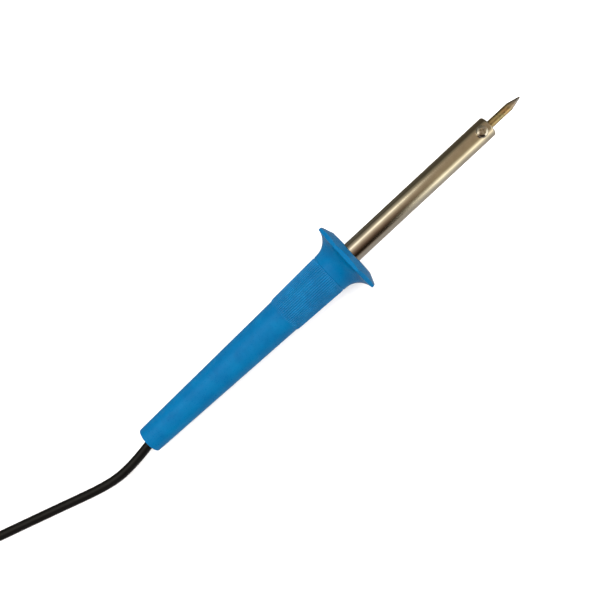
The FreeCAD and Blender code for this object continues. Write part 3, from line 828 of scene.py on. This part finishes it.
# ---- the handle ----
def octagon_radius(angle):
    """Distance from the axis to the guard's rim, its corners rounded."""
    handle = settings("handle")
    apothem, easing = handle.guard_flats / 2, handle.corner_round
    wedge = FULL_TURN / handle.guard_sides
    off_flat = abs((angle + wedge / 2) % wedge - wedge / 2)
    inner = apothem - easing
    if apothem * math.tan(off_flat) <= inner * math.tan(wedge / 2):
        return apothem / math.cos(off_flat)
    centre = inner / math.cos(wedge / 2)
    off_corner = wedge / 2 - off_flat
    return centre * math.cos(off_corner) + math.sqrt(easing ** 2 - (centre * math.sin(off_corner)) ** 2)


# Roundings of the handle's edges, in millimetres.
HANDLE_EASINGS = {"grip": 0.1, "rim": 0.4, "hub": 0.35, "recess": 0.3, "floor": 0.2, "cavity front": 0.4,
                  "cavity rear": 0.3, "mouth": 0.15}
FLARE_STEPS = 18
FLARE_CROWDING = 1.25   # over 1 sets the flare's points closer near the grip


def handle_outline(rim_radius):
    """The handle's wall as a closed outline, from its rear edge round and back along its inside."""
    handle, barrel, at = settings("handle"), settings("barrel"), places()
    ease = {edge: rounding * MM for edge, rounding in HANDLE_EASINGS.items()}
    hub_radius = handle.recess_radius + handle.hub_ring
    valley = handle.grip_step - handle.rib_depth
    front_valley = handle.grip_radius - handle.rib_depth
    corners = [(0, handle.rear_radius, handle.rear_round),
               (handle.body_length, handle.front_radius, 0.0),
               (handle.body_length + valley, handle.front_radius + valley, 0.0),
               (at["grip_end"] - handle.rib_depth, front_valley, 0.0),
               (at["grip_end"], handle.grip_radius, ease["grip"])]
    for step in range(FLARE_STEPS):
        swing = (step / FLARE_STEPS) ** FLARE_CROWDING
        radius = handle.grip_radius + (rim_radius - handle.grip_radius) * swing
        corners.append((flare_x(radius), radius, 0.0))
    front = at["hub"] - (rim_radius - hub_radius) * FRONT_SLOPE
    corners += [(flare_x(rim_radius), rim_radius, ease["rim"]), (front, rim_radius, ease["rim"]),
                (at["hub"], hub_radius, ease["hub"]), (at["hub"], handle.recess_radius, ease["recess"]),
                (at["floor"], handle.recess_radius, ease["floor"]), (at["floor"], barrel.radius, 0.0),
                (at["cavity"], barrel.radius, 0.0),
                (at["cavity"], handle.cavity_front, ease["cavity front"]),
                (handle.mouth_depth, handle.cavity_rear, ease["cavity rear"]),
                (handle.mouth_depth, handle.mouth_radius, 0.0),
                (handle.mouth_chamfer, handle.mouth_radius, 0.0),
                (0, handle.mouth_radius + handle.mouth_chamfer, ease["mouth"])]
    return eased(corners)


# Where the outlines stand across one flat of the guard, closer together at its corners.
FLAT_SHARES = [-0.5, -0.488, -0.476, -0.462, -0.43, -0.38, -0.32, -0.26, -0.2, -0.14, -0.08, -0.02,
               0.04, 0.1, 0.16, 0.22, 0.28, 0.34, 0.4, 0.44, 0.462, 0.476, 0.488]


def handle_moulding():
    """One piece: tapered body, grip, flare and octagonal guard, with the hollow inside."""
    sides = settings("handle").guard_sides
    angles = [FULL_TURN / sides * (side + share) for side in range(sides) for share in FLAT_SHARES]
    outlines = [handle_outline(octagon_radius(angle)) for angle in angles]
    rows = [[(x, radius * math.sin(angle), radius * math.cos(angle))
             for (x, radius, _), angle in zip(ring, angles)] for ring in zip(*outlines)]
    edges = [edge for _, _, edge in outlines[0]]
    mesh = skin("handle_moulding", rows, edges, joined=True)
    piece_of(mesh, on_iron(), "iron", "handle_plastic", in_finish("handle blue", handle_blue), "handle")


def grip_ribs():
    """The ribs that stand round the grip."""
    handle, at = settings("handle"), places()
    inset = 0.15 * MM
    mesh = repeated("grip_ribs", ribs_tree(), {
        "Count": handle.ribs, "Finish": in_finish("rib blue", rib_blue),
        "Start": handle.body_length + inset, "End": at["grip_end"] - inset,
        "Rear radius": handle.front_radius + handle.grip_step - handle.rib_depth,
        "Front radius": handle.grip_radius - handle.rib_depth,
        "Width": handle.rib_width, "Depth": handle.rib_depth})
    piece_of(mesh, on_iron(), "iron", "handle_plastic", in_finish("rib blue", rib_blue))


# ---- the barrel and what holds it ----
def barrel_tube():
    """Steel tube, rolled in at its mouth, with the hole for the bit's screw."""
    barrel, at = settings("barrel"), places()
    rear, front = at["hub"] - barrel.inside, at["barrel_end"]
    inner = barrel.radius - barrel.wall
    rear_ease, lip, drill_low, drill_high = 0.1 * MM, 0.18 * MM, 2 * MM, 9 * MM
    outline = eased([(rear, barrel.radius, rear_ease), (front, barrel.radius, barrel.roll),
                     (front, barrel.mouth, lip), (front - barrel.wall, barrel.mouth, lip),
                     (front - barrel.wall, inner, barrel.roll - barrel.wall), (rear, inner, rear_ease)],
                    steps=7)
    drill = turned("drill", [(drill_low, 0.0, 0.0), (drill_low, barrel.hole_radius, 0.0),
                             (drill_high, barrel.hole_radius, 0.0), (drill_high, 0.0, 0.0)],
                   steps=40, joined=False)
    drill.transform(Matrix.Translation((at["screw"], 0, 0)) @ X_TO_Z)
    mesh = sharpened(cut_from(turned("barrel_tube", outline, steps=128), drill))
    piece_of(mesh, on_iron(), "iron", "barrel_steel", in_finish("barrel metal", barrel_metal), "barrel")


def barrel_plate():
    """Disc in the guard's recess that the barrel is held by."""
    handle, barrel, at = settings("handle"), settings("barrel"), places()
    outer = handle.recess_radius - barrel.plate_gap
    rear, front = at["floor"], at["floor"] + barrel.plate
    rear_ease, rim_ease, bore_ease = 0.15 * MM, 0.25 * MM, 0.2 * MM
    outline = eased([(rear, barrel.radius, 0.0), (rear, outer, rear_ease), (front, outer, rim_ease),
                     (front, barrel.radius, bore_ease)])
    piece_of(turned("barrel_plate", outline), on_iron(), "iron", "plate_steel",
             in_finish("plate metal", plate_metal), "barrel_collar")


# A pan head's outline: shares of its height and its radius, and the rounding in millimetres.
PAN_HEAD = [(1.0, 0.0, 0.0), (0.97, 0.55, 0.5), (0.62, 0.93, 0.5), (0.0, 1.0, 0.12)]
RECESS_LENGTH, RECESS_WIDTH, RECESS_DEPTH = 0.62, 0.13, 0.62    # shares of the head
RECESS_TURN = 0.4                                               # how far round it is left, in radians
THREAD_DEPTH = 0.18 * MM
SCREW_END = 0.3 * MM


def cross_screw(name, head, head_height, shank, length, pitch):
    """A pan head screw with a cross recess and a thread, its head's seat at x = 0."""
    root = shank - THREAD_DEPTH
    corners = [(head_height * up, head * out, ease * MM) for up, out, ease in PAN_HEAD]
    outline = eased(corners + [(0.0, shank, 0.0)], closed=False)
    for step in range(int(length / pitch) - 1):
        start = -pitch * (step + 0.3)
        outline += [(start, root, 0.0), (start - pitch * 0.5, shank, 0.4)]
    outline += [(-length + SCREW_END, root, 0.0), (-length, root - SCREW_END, 0.0), (-length, 0.0, 0.0)]
    long, thin = head * RECESS_LENGTH, head * RECESS_WIDTH
    levels = ((head_height - head_height * RECESS_DEPTH, 0.3), (head_height, 1.0),
              (head_height + 1 * MM, 1.3))
    cutters = []
    for turn in (0, 1):
        rows = [[(x, y * share * long, z * (0.6 + 0.4 * share) * thin)
                 for y, z in ((1, 1), (-1, 1), (-1, -1), (1, -1))] for x, share in levels]
        cutter = skin("bit of a driver", rows, capped=True)
        cutter.transform(Matrix.Rotation(turn * math.pi / 2 + RECESS_TURN, 4, "X"))
        cutters.append(cutter)
    return sharpened(cut_from(turned(name, outline, 64, joined=False), *cutters))


def ring_of(name, form_mesh, finish, count, along, off_axis):
    """A form's mesh set off the X axis and repeated round it, as one mesh."""
    form = shown("form", form_mesh)
    mesh = repeated(name, ring_of_forms_tree(), {"Count": count, "Finish": finish, "Form": form,
                                                 "Along": along, "Off axis": off_axis})
    bpy.data.objects.remove(form)
    return mesh


def plate_screws():
    """The screws that hold the plate to the handle."""
    barrel = settings("barrel")
    pitch = 0.6 * MM
    form = cross_screw("form", barrel.plate_head, barrel.plate_head_height, barrel.plate_screw,
                       barrel.plate_screw_length, pitch)
    metal = in_finish("screw metal", screw_metal)
    mesh = ring_of("plate_screws", form, metal, barrel.plate_screws, places()["floor"] + barrel.plate,
                   barrel.plate_circle)
    piece_of(mesh, on_iron(), "iron", "screw_steel", metal, "collar_screws")


# ---- the bit, its screw and washer ----
def bit():
    """Turned rod with a conical point."""
    sizes, end = settings("bit"), places()["tip_end"]
    rear, shoulder, point = end - sizes.length, end - sizes.cone, end - sizes.point * 0.4
    shoulder_ease, point_ease = 0.8 * MM, 0.25 * MM
    outline = eased([(rear, 0.0, 0.0), (rear, sizes.radius, sizes.chamfer),
                     (shoulder, sizes.radius, shoulder_ease), (point, sizes.point, point_ease),
                     (end, 0.0, 0.0)], steps=6, closed=False)
    piece_of(turned("bit", outline, 72, joined=False), on_iron(), "tip", "tip_metal",
             in_finish("bit metal", bit_metal), "tip")


def bit_screw():
    """Screw through the barrel that clamps the bit."""
    sizes, barrel = settings("bit"), settings("barrel")
    seat = barrel.radius + sizes.washer + 2 * sizes.washer_gap
    reach = seat - sizes.radius - sizes.screw_off_bit
    mesh = cross_screw("bit_screw", sizes.screw_head, sizes.screw_head_height, sizes.screw_radius, reach,
                       sizes.screw_pitch)
    piece_of(mesh, on_screw(seat), "tip_screw", "screw_steel", in_finish("screw metal", screw_metal),
             "tip_screw")


def split_washer():
    """Spring washer, cut through once, under the screw's head."""
    sizes, barrel = settings("bit"), settings("barrel")
    inner, outer = sizes.screw_radius + 0.1 * MM, sizes.screw_head + 0.05 * MM
    ease, steps, cut_at = 0.12 * MM, 56, math.radians(140)
    section = eased([(0, inner, ease), (sizes.washer, inner, ease), (sizes.washer, outer, ease),
                     (0, outer, ease)], steps=3)
    half_slit = sizes.washer_slit / 2 / ((inner + outer) / 2)
    rows = []
    for step in range(steps + 1):
        angle = cut_at + half_slit + (FULL_TURN - 2 * half_slit) * step / steps
        across, up = math.cos(angle), math.sin(angle)
        rows.append([(x, radius * across, radius * up) for x, radius, _ in section])
    mesh = skin("split_washer", rows, capped=True)
    piece_of(mesh, on_screw(barrel.radius + sizes.washer_gap), "screw_washer", "screw_steel",
             in_finish("screw metal", screw_metal), "tip_screw_washer")


# ---- the lead, its tie and its plug ----
# The hank's winding: turns wound so far, whether the fold is the outer one, and the layer.
WINDING = [(0.0, True, 0), (1.0, False, 0), (1.3, False, 1), (2.25, True, 1), (2.55, True, 2),
           (3.5, False, 2), (3.8, False, 3), (4.2, True, 3)]
POINTS_PER_TURN, FIRST_POINT, HANK_POINTS = 14, 13, 59
POINTS_PER_HALF = POINTS_PER_TURN // 2      # two under the tie, then five round the end
FAN = math.radians(36)                      # from one point to the next round an end
BESIDE_TIE = 10.0                           # how far from the middle a turn is straight, in millimetres


def hank_points():
    """The hank's turns as points of the lead's own line, in millimetres from the handle's rear. Each
    layer winds in or out by one lane, and the lead climbs to the next layer between them."""
    lead = settings("lead")
    run, low, lane = lead.half_run / MM, lead.radius / MM, lead.lane / MM
    folds = {True: lead.outer_fold / MM, False: lead.inner_fold / MM}
    pinch, lift = lead.pinch / MM, lead.lift_at_tie / MM
    points = []
    for step in range(HANK_POINTS):
        turns = step / POINTS_PER_TURN
        for (start, fold_a, layer_a), (end, fold_b, layer_b) in zip(WINDING, WINDING[1:]):
            if start <= turns <= end:
                part = (turns - start) / (end - start)
                fold = folds[fold_a] + (folds[fold_b] - folds[fold_a]) * part
                height = low + lane * (layer_a + (layer_b - layer_a) * part)
                break
        place = (step + FIRST_POINT) % POINTS_PER_TURN
        side = 1 if place < POINTS_PER_HALF else -1
        place %= POINTS_PER_HALF
        if place < 2:
            x, y = side * BESIDE_TIE * (1 - 2 * place), side * (fold - pinch)
            height += lift
        else:
            angle = FAN * (place + 1) + (0 if side > 0 else math.pi)
            wide = fold / math.cos(FAN / 2)
            x, y = wide * math.cos(angle) - side * run, wide * math.sin(angle)
        points.append((x + HANK_CENTRE[0], y + HANK_CENTRE[1], height))
    return points


def mains_lead():
    """The lead: out of the handle, along the bench, into its hank and on to the plug."""
    lead = settings("lead")
    rear = on_iron()
    start = [rear @ Vector((lead.sheath_in, 0, 0)), rear @ Vector((lead.bend_in, 0, 0))]
    route = start + from_rear(LEAD_ROUTE) + from_rear(hank_points()) + from_rear(LEAD_TAIL)
    line = bpy.data.curves.new("mains_lead", "CURVE")
    line.dimensions = "3D"
    line.bevel_depth = lead.radius
    line.bevel_resolution = 6
    line.resolution_u = 6
    line.use_fill_caps = True
    spline = line.splines.new("NURBS")
    spline.points.add(len(route) - 1)
    for point, spot in zip(spline.points, route):
        point.co = (*spot, 1.0)
    spline.order_u = 3
    spline.use_endpoint_u = True
    made = shown("mains_lead", line)
    line.materials.append(in_finish("lead black", lead_black))
    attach(made, "iron")
    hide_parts("power_cord", "cord_hank", "cord_tail")


def tie():
    """Strap round the hank's middle, its end laid over itself."""
    lead = settings("lead")
    half, thick = lead.tie_width / 2, lead.tie_thickness
    beside, above, layers, bend = 0.05 * MM, 0.75 * MM, 4, 2.5 * MM
    side = lead.outer_fold - lead.pinch + lead.radius + thick / 2 + beside
    top = 2 * lead.radius + (layers - 1) * lead.lane + above + thick * 1.5
    under_end, ramp_low, ramp_high, over_end, ramp_bend = 6 * MM, 10 * MM, 7 * MM, -9 * MM, 4 * MM
    line = eased([(under_end, top, 0), (-side, top, bend), (-side, thick / 2, bend),
                  (side, thick / 2, bend), (side, top, bend), (ramp_low, top + 0.02 * MM, ramp_bend),
                  (ramp_high, top + thick, ramp_bend), (over_end, top + thick, 0)], closed=False)
    path = [Vector(point[:2]) for point in line]
    rows = []
    for index, spot in enumerate(path):
        before, after = path[max(index - 1, 0)], path[min(index + 1, len(path) - 1)]
        heading = (after - before).normalized()
        out = Vector((-heading.y, heading.x)) * thick / 2
        corners = ((-half, -1), (-half, 1), (half, 1), (half, -1))
        rows.append([(x, *(spot + out * way)) for x, way in corners])
    middle = from_rear([HANK_CENTRE])[0]
    piece_of(skin("lead_tie", rows, capped=True), Matrix.Translation(middle), "iron", "tie_black",
             in_finish("strap black", strap_black), "cord_tie")


# The plug's body: shares of its length, and how far it has widened from the neck to the face.
PLUG_WIDENING = [(0.08, 0.02), (0.14, 0.13), (0.19, 0.3), (0.24, 0.4), (0.29, 0.5), (0.34, 0.585),
                 (0.42, 0.72), (0.52, 0.84), (0.62, 0.93), (0.7, 0.98), (0.78, 1.0), (0.9, 1.0),
                 (0.965, 1.0)]
GROOVES_AT = (0.19, 0.29, 0.42)
GROOVE_DEPTH = 0.32 * MM
ROUND, BOXY = 2.0, 3.6      # how square a section is
RELIEF_WALL = 1.0 * MM      # of the relief's thin end, round the lead
PLUG_STEPS = 72


def plug_section(x, wide, high, squareness):
    """A ring of points across the plug, from an ellipse to a rounded box."""
    ring = []
    for step in range(PLUG_STEPS):
        angle = FULL_TURN * step / PLUG_STEPS
        across, up = (math.copysign(abs(way) ** (2 / squareness), way)
                      for way in (math.cos(angle), math.sin(angle)))
        ring.append((x, wide * across, high * up))
    return ring


def plug_body():
    """The plug's moulded body and its tapered relief, in one piece."""
    plug, lead = settings("plug"), settings("lead")
    tall, relief_end = plug.half_height, plug.relief_end
    start, end = plug.relief, plug.relief + plug.length
    thin = lead.radius + RELIEF_WALL
    # Each station's x, half width, half height and squareness, the small steps in millimetres.
    stations = [(0.0, thin - 0.5 * MM, thin - 0.5 * MM, ROUND), (0.4 * MM, thin, thin, ROUND),
                (start - 1.2 * MM, relief_end, relief_end, ROUND),
                (start - 0.4 * MM, relief_end + 0.2 * MM, relief_end + 0.2 * MM, 2.2),
                (start + 0.3 * MM, plug.neck - 0.7 * MM, tall - 1.1 * MM, 2.6),
                (start + 1.6 * MM, plug.neck, tall - 0.25 * MM, 3.2)]
    for share, width in PLUG_WIDENING:
        groove = GROOVE_DEPTH if share in GROOVES_AT else 0.0
        wide = plug.neck + (plug.face - plug.neck) * width
        stations.append((start + share * plug.length, wide - groove, tall - groove, BOXY))
    for back, inwards in ((0.5 * MM, 0.15 * MM), (0.1 * MM, 0.6 * MM), (0.0, 1.1 * MM)):
        stations.append((end - back, plug.face - inwards, tall - inwards, BOXY))
    mesh = skin("lead_plug", [plug_section(*station) for station in stations], capped=True)
    piece_of(mesh, on_plug(), "iron", "plug_black", in_finish("plug black", plug_black), "plug_body")


def relief_rings():
    """The raised rings round the plug's relief."""
    plug, lead = settings("plug"), settings("lead")
    black, bead = in_finish("plug black", plug_black), 0.45 * MM
    mesh = repeated("relief_rings", relief_rings_tree(), {
        "Count": plug.relief_rings, "Finish": black, "Length": plug.relief,
        "Thin radius": lead.radius + RELIEF_WALL, "Thick radius": plug.relief_end, "Bead": bead})
    piece_of(mesh, on_plug(), "iron", "plug_black", black)


def plug_pins():
    """The two round pins and the sleeves on them."""
    plug = settings("plug")
    face, radius = plug.relief + plug.length, plug.pin_radius
    sleeve_end, end = face + plug.pin_sleeve, face + plug.pin_length
    pin_root, sleeve_root, past = face - 8 * MM, face - 1 * MM, sleeve_end + 0.001 * MM
    inner, pin_ease, sleeve_ease = radius * 0.85, 1.2 * MM, 0.12 * MM
    pin = [(pin_root, 0.0, 0.0), (pin_root, inner, 0.0), (past, inner, 0.0), (past, radius, 0.0),
           (end, radius, pin_ease), (end, 0.0, 0.0)]
    sleeve = [(sleeve_root, 0.0, 0.0), (sleeve_root, radius, 0.0), (sleeve_end, radius, sleeve_ease),
              (sleeve_end, radius * 0.7, 0.0), (sleeve_end, 0.0, 0.0)]
    across = on_plug() @ Matrix.Rotation(math.pi / 2, 4, "X")
    for name, corners, finish, slot, node_name in (
            ("lead_pins", pin, in_finish("pin metal", pin_metal), "pin_nickel", "plug_pins"),
            ("lead_pin_sleeves", sleeve, in_finish("plug black", plug_black), "pin_sleeve_black",
             "pin_sleeves")):
        form = turned("form", eased(corners, steps=6, closed=False), 48, joined=False)
        mesh = ring_of(name, form, finish, 2, 0.0, plug.pin_spread)
        piece_of(mesh, across, "iron", slot, finish, node_name)


# ---- what is inside ----
def turned_bush(name):
    """Dark turned steel."""
    return drawn_metal(name, (0.26, 0.26, 0.25), 0.34, lengthwise=4200.0, across=150.0, depth=0.4)


def mica(name):
    """Layered mica, translucent amber flecks on a pale ground."""
    made, tree, shader = fresh(name, 0.45)
    flake = node(tree, "ShaderNodeTexVoronoi", {"Vector": here(tree), "Scale": 700.0})
    joined_up(tree, shader,
              Base_Color=blended(tree, flake.outputs["Color"], (0.62, 0.53, 0.36), (0.42, 0.31, 0.17)),
              Normal=bumped(tree, flake.outputs["Distance"], 0.3, 0.1 * MM))
    return made


def wound_wire(name):
    """Resistance wire wound close, oxidised."""
    made, tree, shader = fresh(name, 0.42, metallic=1.0)
    place = down_iron(tree)
    turns = node(tree, "ShaderNodeTexWave", {"Vector": place, "Scale": 700.0}, bands_direction="X")
    heat = noise(tree, place, scale=240.0)
    joined_up(tree, shader, Base_Color=blended(tree, heat, (0.17, 0.14, 0.12), (0.32, 0.27, 0.22)),
              Normal=bumped(tree, turns.outputs[1], 0.8, THREAD_HEIGHT))
    return made


def braided(name):
    """Braided glass sleeve."""
    made, tree, shader = fresh(name, 0.75)
    place = down_iron(tree)
    strands = []
    for lean in (0.7, -0.7):
        leant = node(tree, "ShaderNodeMapping", {"Vector": place, "Rotation": [lean] * 3}).outputs[0]
        strands.append(node(tree, "ShaderNodeTexWave", {"Vector": leant, "Scale": 650.0}).outputs[1])
    weave = crossed(tree, *strands)
    joined_up(tree, shader, Base_Color=blended(tree, weave, (0.42, 0.38, 0.3), (0.8, 0.77, 0.68)),
              Normal=bumped(tree, weave, 0.6, THREAD_HEIGHT))
    return made


def lead_nickel(name):
    """Nickel wire."""
    return drawn_metal(name, (0.4, 0.39, 0.36), 0.3, lengthwise=90.0, across=2500.0)


def crimp_brass(name):
    """Crimped brass."""
    return drawn_metal(name, (0.5, 0.3, 0.09), 0.28, lengthwise=700.0, across=700.0, depth=0.3)


def ceramic(name):
    """Unglazed white ceramic."""
    return moulded(name, (0.72, 0.69, 0.6), 0.62, lighter=1.12, scale=2400.0, depth=0.6)


def core_brown(name):
    """Live core's insulation."""
    return moulded(name, (0.075, 0.022, 0.008), 0.3, depth=0.1)


def core_blue(name):
    """Neutral core's insulation."""
    return moulded(name, (0.012, 0.05, 0.3), 0.3, depth=0.1)


def grip_rubber(name):
    """Black rubber."""
    return moulded(name, (0.012, 0.012, 0.012), 0.6, depth=0.7)


INNER_FINISHES = {
    "barrel_bush": ("bush metal", turned_bush), "bit_tube": ("bush metal", turned_bush),
    "mica_inner": ("mica", mica), "mica_outer": ("mica", mica),
    "heater_winding": ("wound wire", wound_wire),
    "ceramic_plug": ("ceramic", ceramic), "heater_lead_live": ("lead nickel", lead_nickel),
    "heater_lead_neutral": ("lead nickel", lead_nickel), "lead_sleeves": ("ceramic", ceramic),
    "crimp_connectors": ("crimp brass", crimp_brass), "crimp_sleeves": ("braided", braided),
    "core_live": ("core brown", core_brown), "core_neutral": ("core blue", core_blue),
    "cord_grip": ("grip rubber", grip_rubber),
}


def inner_parts():
    """Finishes for the parts that keep the frame's own shapes."""
    for name, (finish, make) in INNER_FINISHES.items():
        for slot in frame["nodes"][name].material_slots:
            slot.material = in_finish(finish, make)


# ---- the stage ----
def lamp(name, towards, strength, softness):
    """A soft, even light from one side of the room, left out of the gloss. Softness is in degrees."""
    light = bpy.data.lights.new(name, "SUN")
    light.energy = strength
    light.angle = math.radians(softness)
    made = shown(name, light)
    made.rotation_euler = Vector(towards).to_track_quat("Z", "Y").to_euler()
    made.visible_camera = False
    made.visible_glossy = False


BENCH_REACH, BENCH_THICKNESS = 6.0, 0.02
CAMERA_SPOT = (-0.0179, 0.0002)
CAMERA_TURN = -42.85        # degrees
LENS = 57.3                 # millimetres, on a sensor 36 wide
# Each light's name, way to it, strength and softness in degrees.
LAMPS = [("left light", (-0.05, 0.6, 0.8), 3.2, 70), ("right light", (0.1, -0.65, 0.75), 1.6, 80),
         ("overhead light", (0.0, 0.0, 1.0), 2.1, 90)]


def stage():
    """Pale bench, soft lights, pale surroundings and the camera."""
    scene = bpy.context.scene
    scene.view_settings.view_transform = "Standard"
    reach = BENCH_REACH
    corners = [(-reach, -reach), (reach, -reach), (reach, reach), (-reach, reach)]
    levels = (0.0, -BENCH_THICKNESS)
    bench = skin("bench", [[(x, y, z) for x, y in corners] for z in levels], capped=True)
    bench.materials.append(in_finish("bench white", bench_white))
    top = shown("bench", bench)
    top.visible_glossy = False

    studio = settings("studio")
    camera = bpy.data.cameras.new("camera")
    camera.lens, camera.sensor_width = LENS, 36.0
    camera.clip_start, camera.clip_end = 0.01, 30.0
    made = shown("camera", camera)
    made.location = (CAMERA_SPOT[0] + studio.camera_along, CAMERA_SPOT[1], studio.camera_height)
    made.rotation_euler = (0.0, 0.0, math.radians(CAMERA_TURN))
    scene.camera = made

    surroundings(scene)
    for light in LAMPS:
        lamp(*light)


# What the gloss sees: degrees from straight up towards +Y, and the light there.
REAR_CARDS = [
    (-180, 0.40, 0.38, 0.38), (-95, 0.36, 0.34, 0.35), (-80, 0.30, 0.27, 0.26),
    (-67, 0.06, 0.045, 0.035), (-56, 0.01, 0.006, 0.003), (-40, 0.03, 0.017, 0.01),
    (-20, 0.14, 0.09, 0.07), (0, 0.33, 0.26, 0.22), (15, 0.6, 0.5, 0.42), (26, 0.95, 0.88, 0.8),
    (34, 1.6, 1.5, 1.4), (42, 1.35, 1.25, 1.12), (52, 0.58, 0.53, 0.47), (62, 0.36, 0.33, 0.29),
    (74, 0.22, 0.2, 0.17), (85, 0.09, 0.08, 0.065), (118, 0.12, 0.11, 0.10),
    (135, 0.06, 0.06, 0.05), (180, 0.40, 0.38, 0.38)]
FRONT_CARDS = [
    (-180, 0.40, 0.38, 0.38), (-110, 0.45, 0.44, 0.47), (-95, 0.58, 0.56, 0.55),
    (-80, 0.9, 0.87, 0.84), (-64, 1.6, 1.52, 1.42), (-52, 1.1, 1.03, 0.92),
    (-38, 0.5, 0.45, 0.37), (-28, 0.36, 0.30, 0.23), (0, 0.35, 0.28, 0.22),
    (40, 0.34, 0.28, 0.23), (55, 0.24, 0.21, 0.17), (68, 0.13, 0.12, 0.10),
    (78, 0.08, 0.066, 0.05), (120, 0.08, 0.07, 0.06), (180, 0.40, 0.38, 0.38)]
CHANGE_FROM, CHANGE_TO = 0.045, 0.095   # how far along the iron the gloss looks, between the two


def surroundings(scene):
    """A pale surround to the eye. In the gloss, panels and gaps round the iron's axis: a bright strip
    high on the left over the handle and the rear of the barrel, one low on the right past it."""
    scene.world = bpy.data.worlds.new("surround")
    scene.world.use_nodes = True
    tree = scene.world.node_tree
    seen = node(tree, "ShaderNodeLightPath").outputs["Is Camera Ray"]
    direction = node(tree, "ShaderNodeTexCoord").outputs["Generated"]
    parted = node(tree, "ShaderNodeSeparateXYZ", {"Vector": direction})
    tilt = worked(tree, "ARCTAN2", parted.outputs["Y"], parted.outputs["Z"])
    share = remapped(tree, tilt, -math.pi, math.pi)
    shades = [graded(tree, share, [((degrees + 180) / 360, *tone) for degrees, *tone in cards])
              for cards in (REAR_CARDS, FRONT_CARDS)]
    along = node(tree, "ShaderNodeVectorMath", {0: direction, 1: ALONG}, operation="DOT_PRODUCT")
    past = remapped(tree, along.outputs["Value"], CHANGE_FROM, CHANGE_TO)
    lit = blended(tree, seen, blended(tree, past, *shades), (1.0, 1.0, 1.0))
    tree.links.new(lit, tree.nodes["Background"].inputs["Color"])


# ---- operators, panel and running order ----
class IRON_OT_stage(bpy.types.Operator):
    """Lays the bench, hangs the lights and sets up the camera"""
    bl_idname = "iron.stage"
    bl_label = "Stage"

    def execute(self, context):
        stage()
        return {"FINISHED"}


class IRON_OT_plug(bpy.types.Operator):
    """Moulds the plug with its relief and fits its pins"""
    bl_idname = "iron.plug"
    bl_label = "Plug"

    def execute(self, context):
        plug_body()
        relief_rings()
        plug_pins()
        return {"FINISHED"}


class IRON_OT_lead(bpy.types.Operator):
    """Lays the mains lead and its hank"""
    bl_idname = "iron.lead"
    bl_label = "Mains lead"

    def execute(self, context):
        mains_lead()
        return {"FINISHED"}


class IRON_OT_tie(bpy.types.Operator):
    """Straps the hank round its middle"""
    bl_idname = "iron.tie"
    bl_label = "Tie"

    def execute(self, context):
        tie()
        return {"FINISHED"}


class IRON_OT_handle(bpy.types.Operator):
    """Moulds the handle with its octagonal guard"""
    bl_idname = "iron.handle"
    bl_label = "Handle"

    def execute(self, context):
        handle_moulding()
        return {"FINISHED"}


class IRON_OT_ribs(bpy.types.Operator):
    """Sets the ribs round the grip"""
    bl_idname = "iron.ribs"
    bl_label = "Grip ribs"

    def execute(self, context):
        grip_ribs()
        return {"FINISHED"}


class IRON_OT_barrel(bpy.types.Operator):
    """Rolls the barrel and presses its plate"""
    bl_idname = "iron.barrel"
    bl_label = "Barrel and plate"

    def execute(self, context):
        barrel_tube()
        barrel_plate()
        return {"FINISHED"}


class IRON_OT_plate_screws(bpy.types.Operator):
    """Drives the screws that hold the plate"""
    bl_idname = "iron.plate_screws"
    bl_label = "Plate screws"

    def execute(self, context):
        plate_screws()
        return {"FINISHED"}


class IRON_OT_bit(bpy.types.Operator):
    """Turns the bit and fits the screw and washer that clamp it"""
    bl_idname = "iron.bit"
    bl_label = "Bit and its screw"

    def execute(self, context):
        bit()
        bit_screw()
        split_washer()
        return {"FINISHED"}


class IRON_OT_inside(bpy.types.Operator):
    """Finishes the heater, wires and other parts inside"""
    bl_idname = "iron.inside"
    bl_label = "Inner parts"

    def execute(self, context):
        inner_parts()
        return {"FINISHED"}


OPERATORS = [IRON_OT_stage, IRON_OT_plug, IRON_OT_lead, IRON_OT_tie, IRON_OT_handle, IRON_OT_ribs,
             IRON_OT_barrel, IRON_OT_plate_screws, IRON_OT_bit, IRON_OT_inside]
GROUPS = {"handle": HandleSizes, "barrel": BarrelSizes, "bit": BitSizes, "lead": LeadSizes,
          "plug": PlugSizes, "finishes": Finishes, "studio": StudioSizes}


class IRON_PT_panel(bpy.types.Panel):
    """Sizes, colours and the steps that build the iron"""
    bl_label = "Soldering iron"
    bl_idname = "IRON_PT_panel"
    bl_space_type = "VIEW_3D"
    bl_region_type = "UI"
    bl_category = "Soldering iron"

    def draw(self, context):
        for name, group in GROUPS.items():
            box = self.layout.box()
            box.label(text=name.capitalize())
            for field in group.__annotations__:
                box.prop(getattr(context.scene, "iron_" + name), field)
        for operator in OPERATORS:
            self.layout.operator(operator.bl_idname)


def register():
    for kind in [*GROUPS.values(), *OPERATORS, IRON_PT_panel]:
        bpy.utils.register_class(kind)
    for name, group in GROUPS.items():
        setattr(bpy.types.Scene, "iron_" + name, bpy.props.PointerProperty(type=group))


def unregister():
    for name in GROUPS:
        delattr(bpy.types.Scene, "iron_" + name)
    for kind in reversed([*GROUPS.values(), *OPERATORS, IRON_PT_panel]):
        bpy.utils.unregister_class(kind)


def main():
    """Builds everything in order."""
    register()
    make_groups()
    for operator in OPERATORS:
        step = operator.bl_idname.split(".")[1]
        getattr(bpy.ops.iron, step)()


if __name__ == "__main__":
    main()
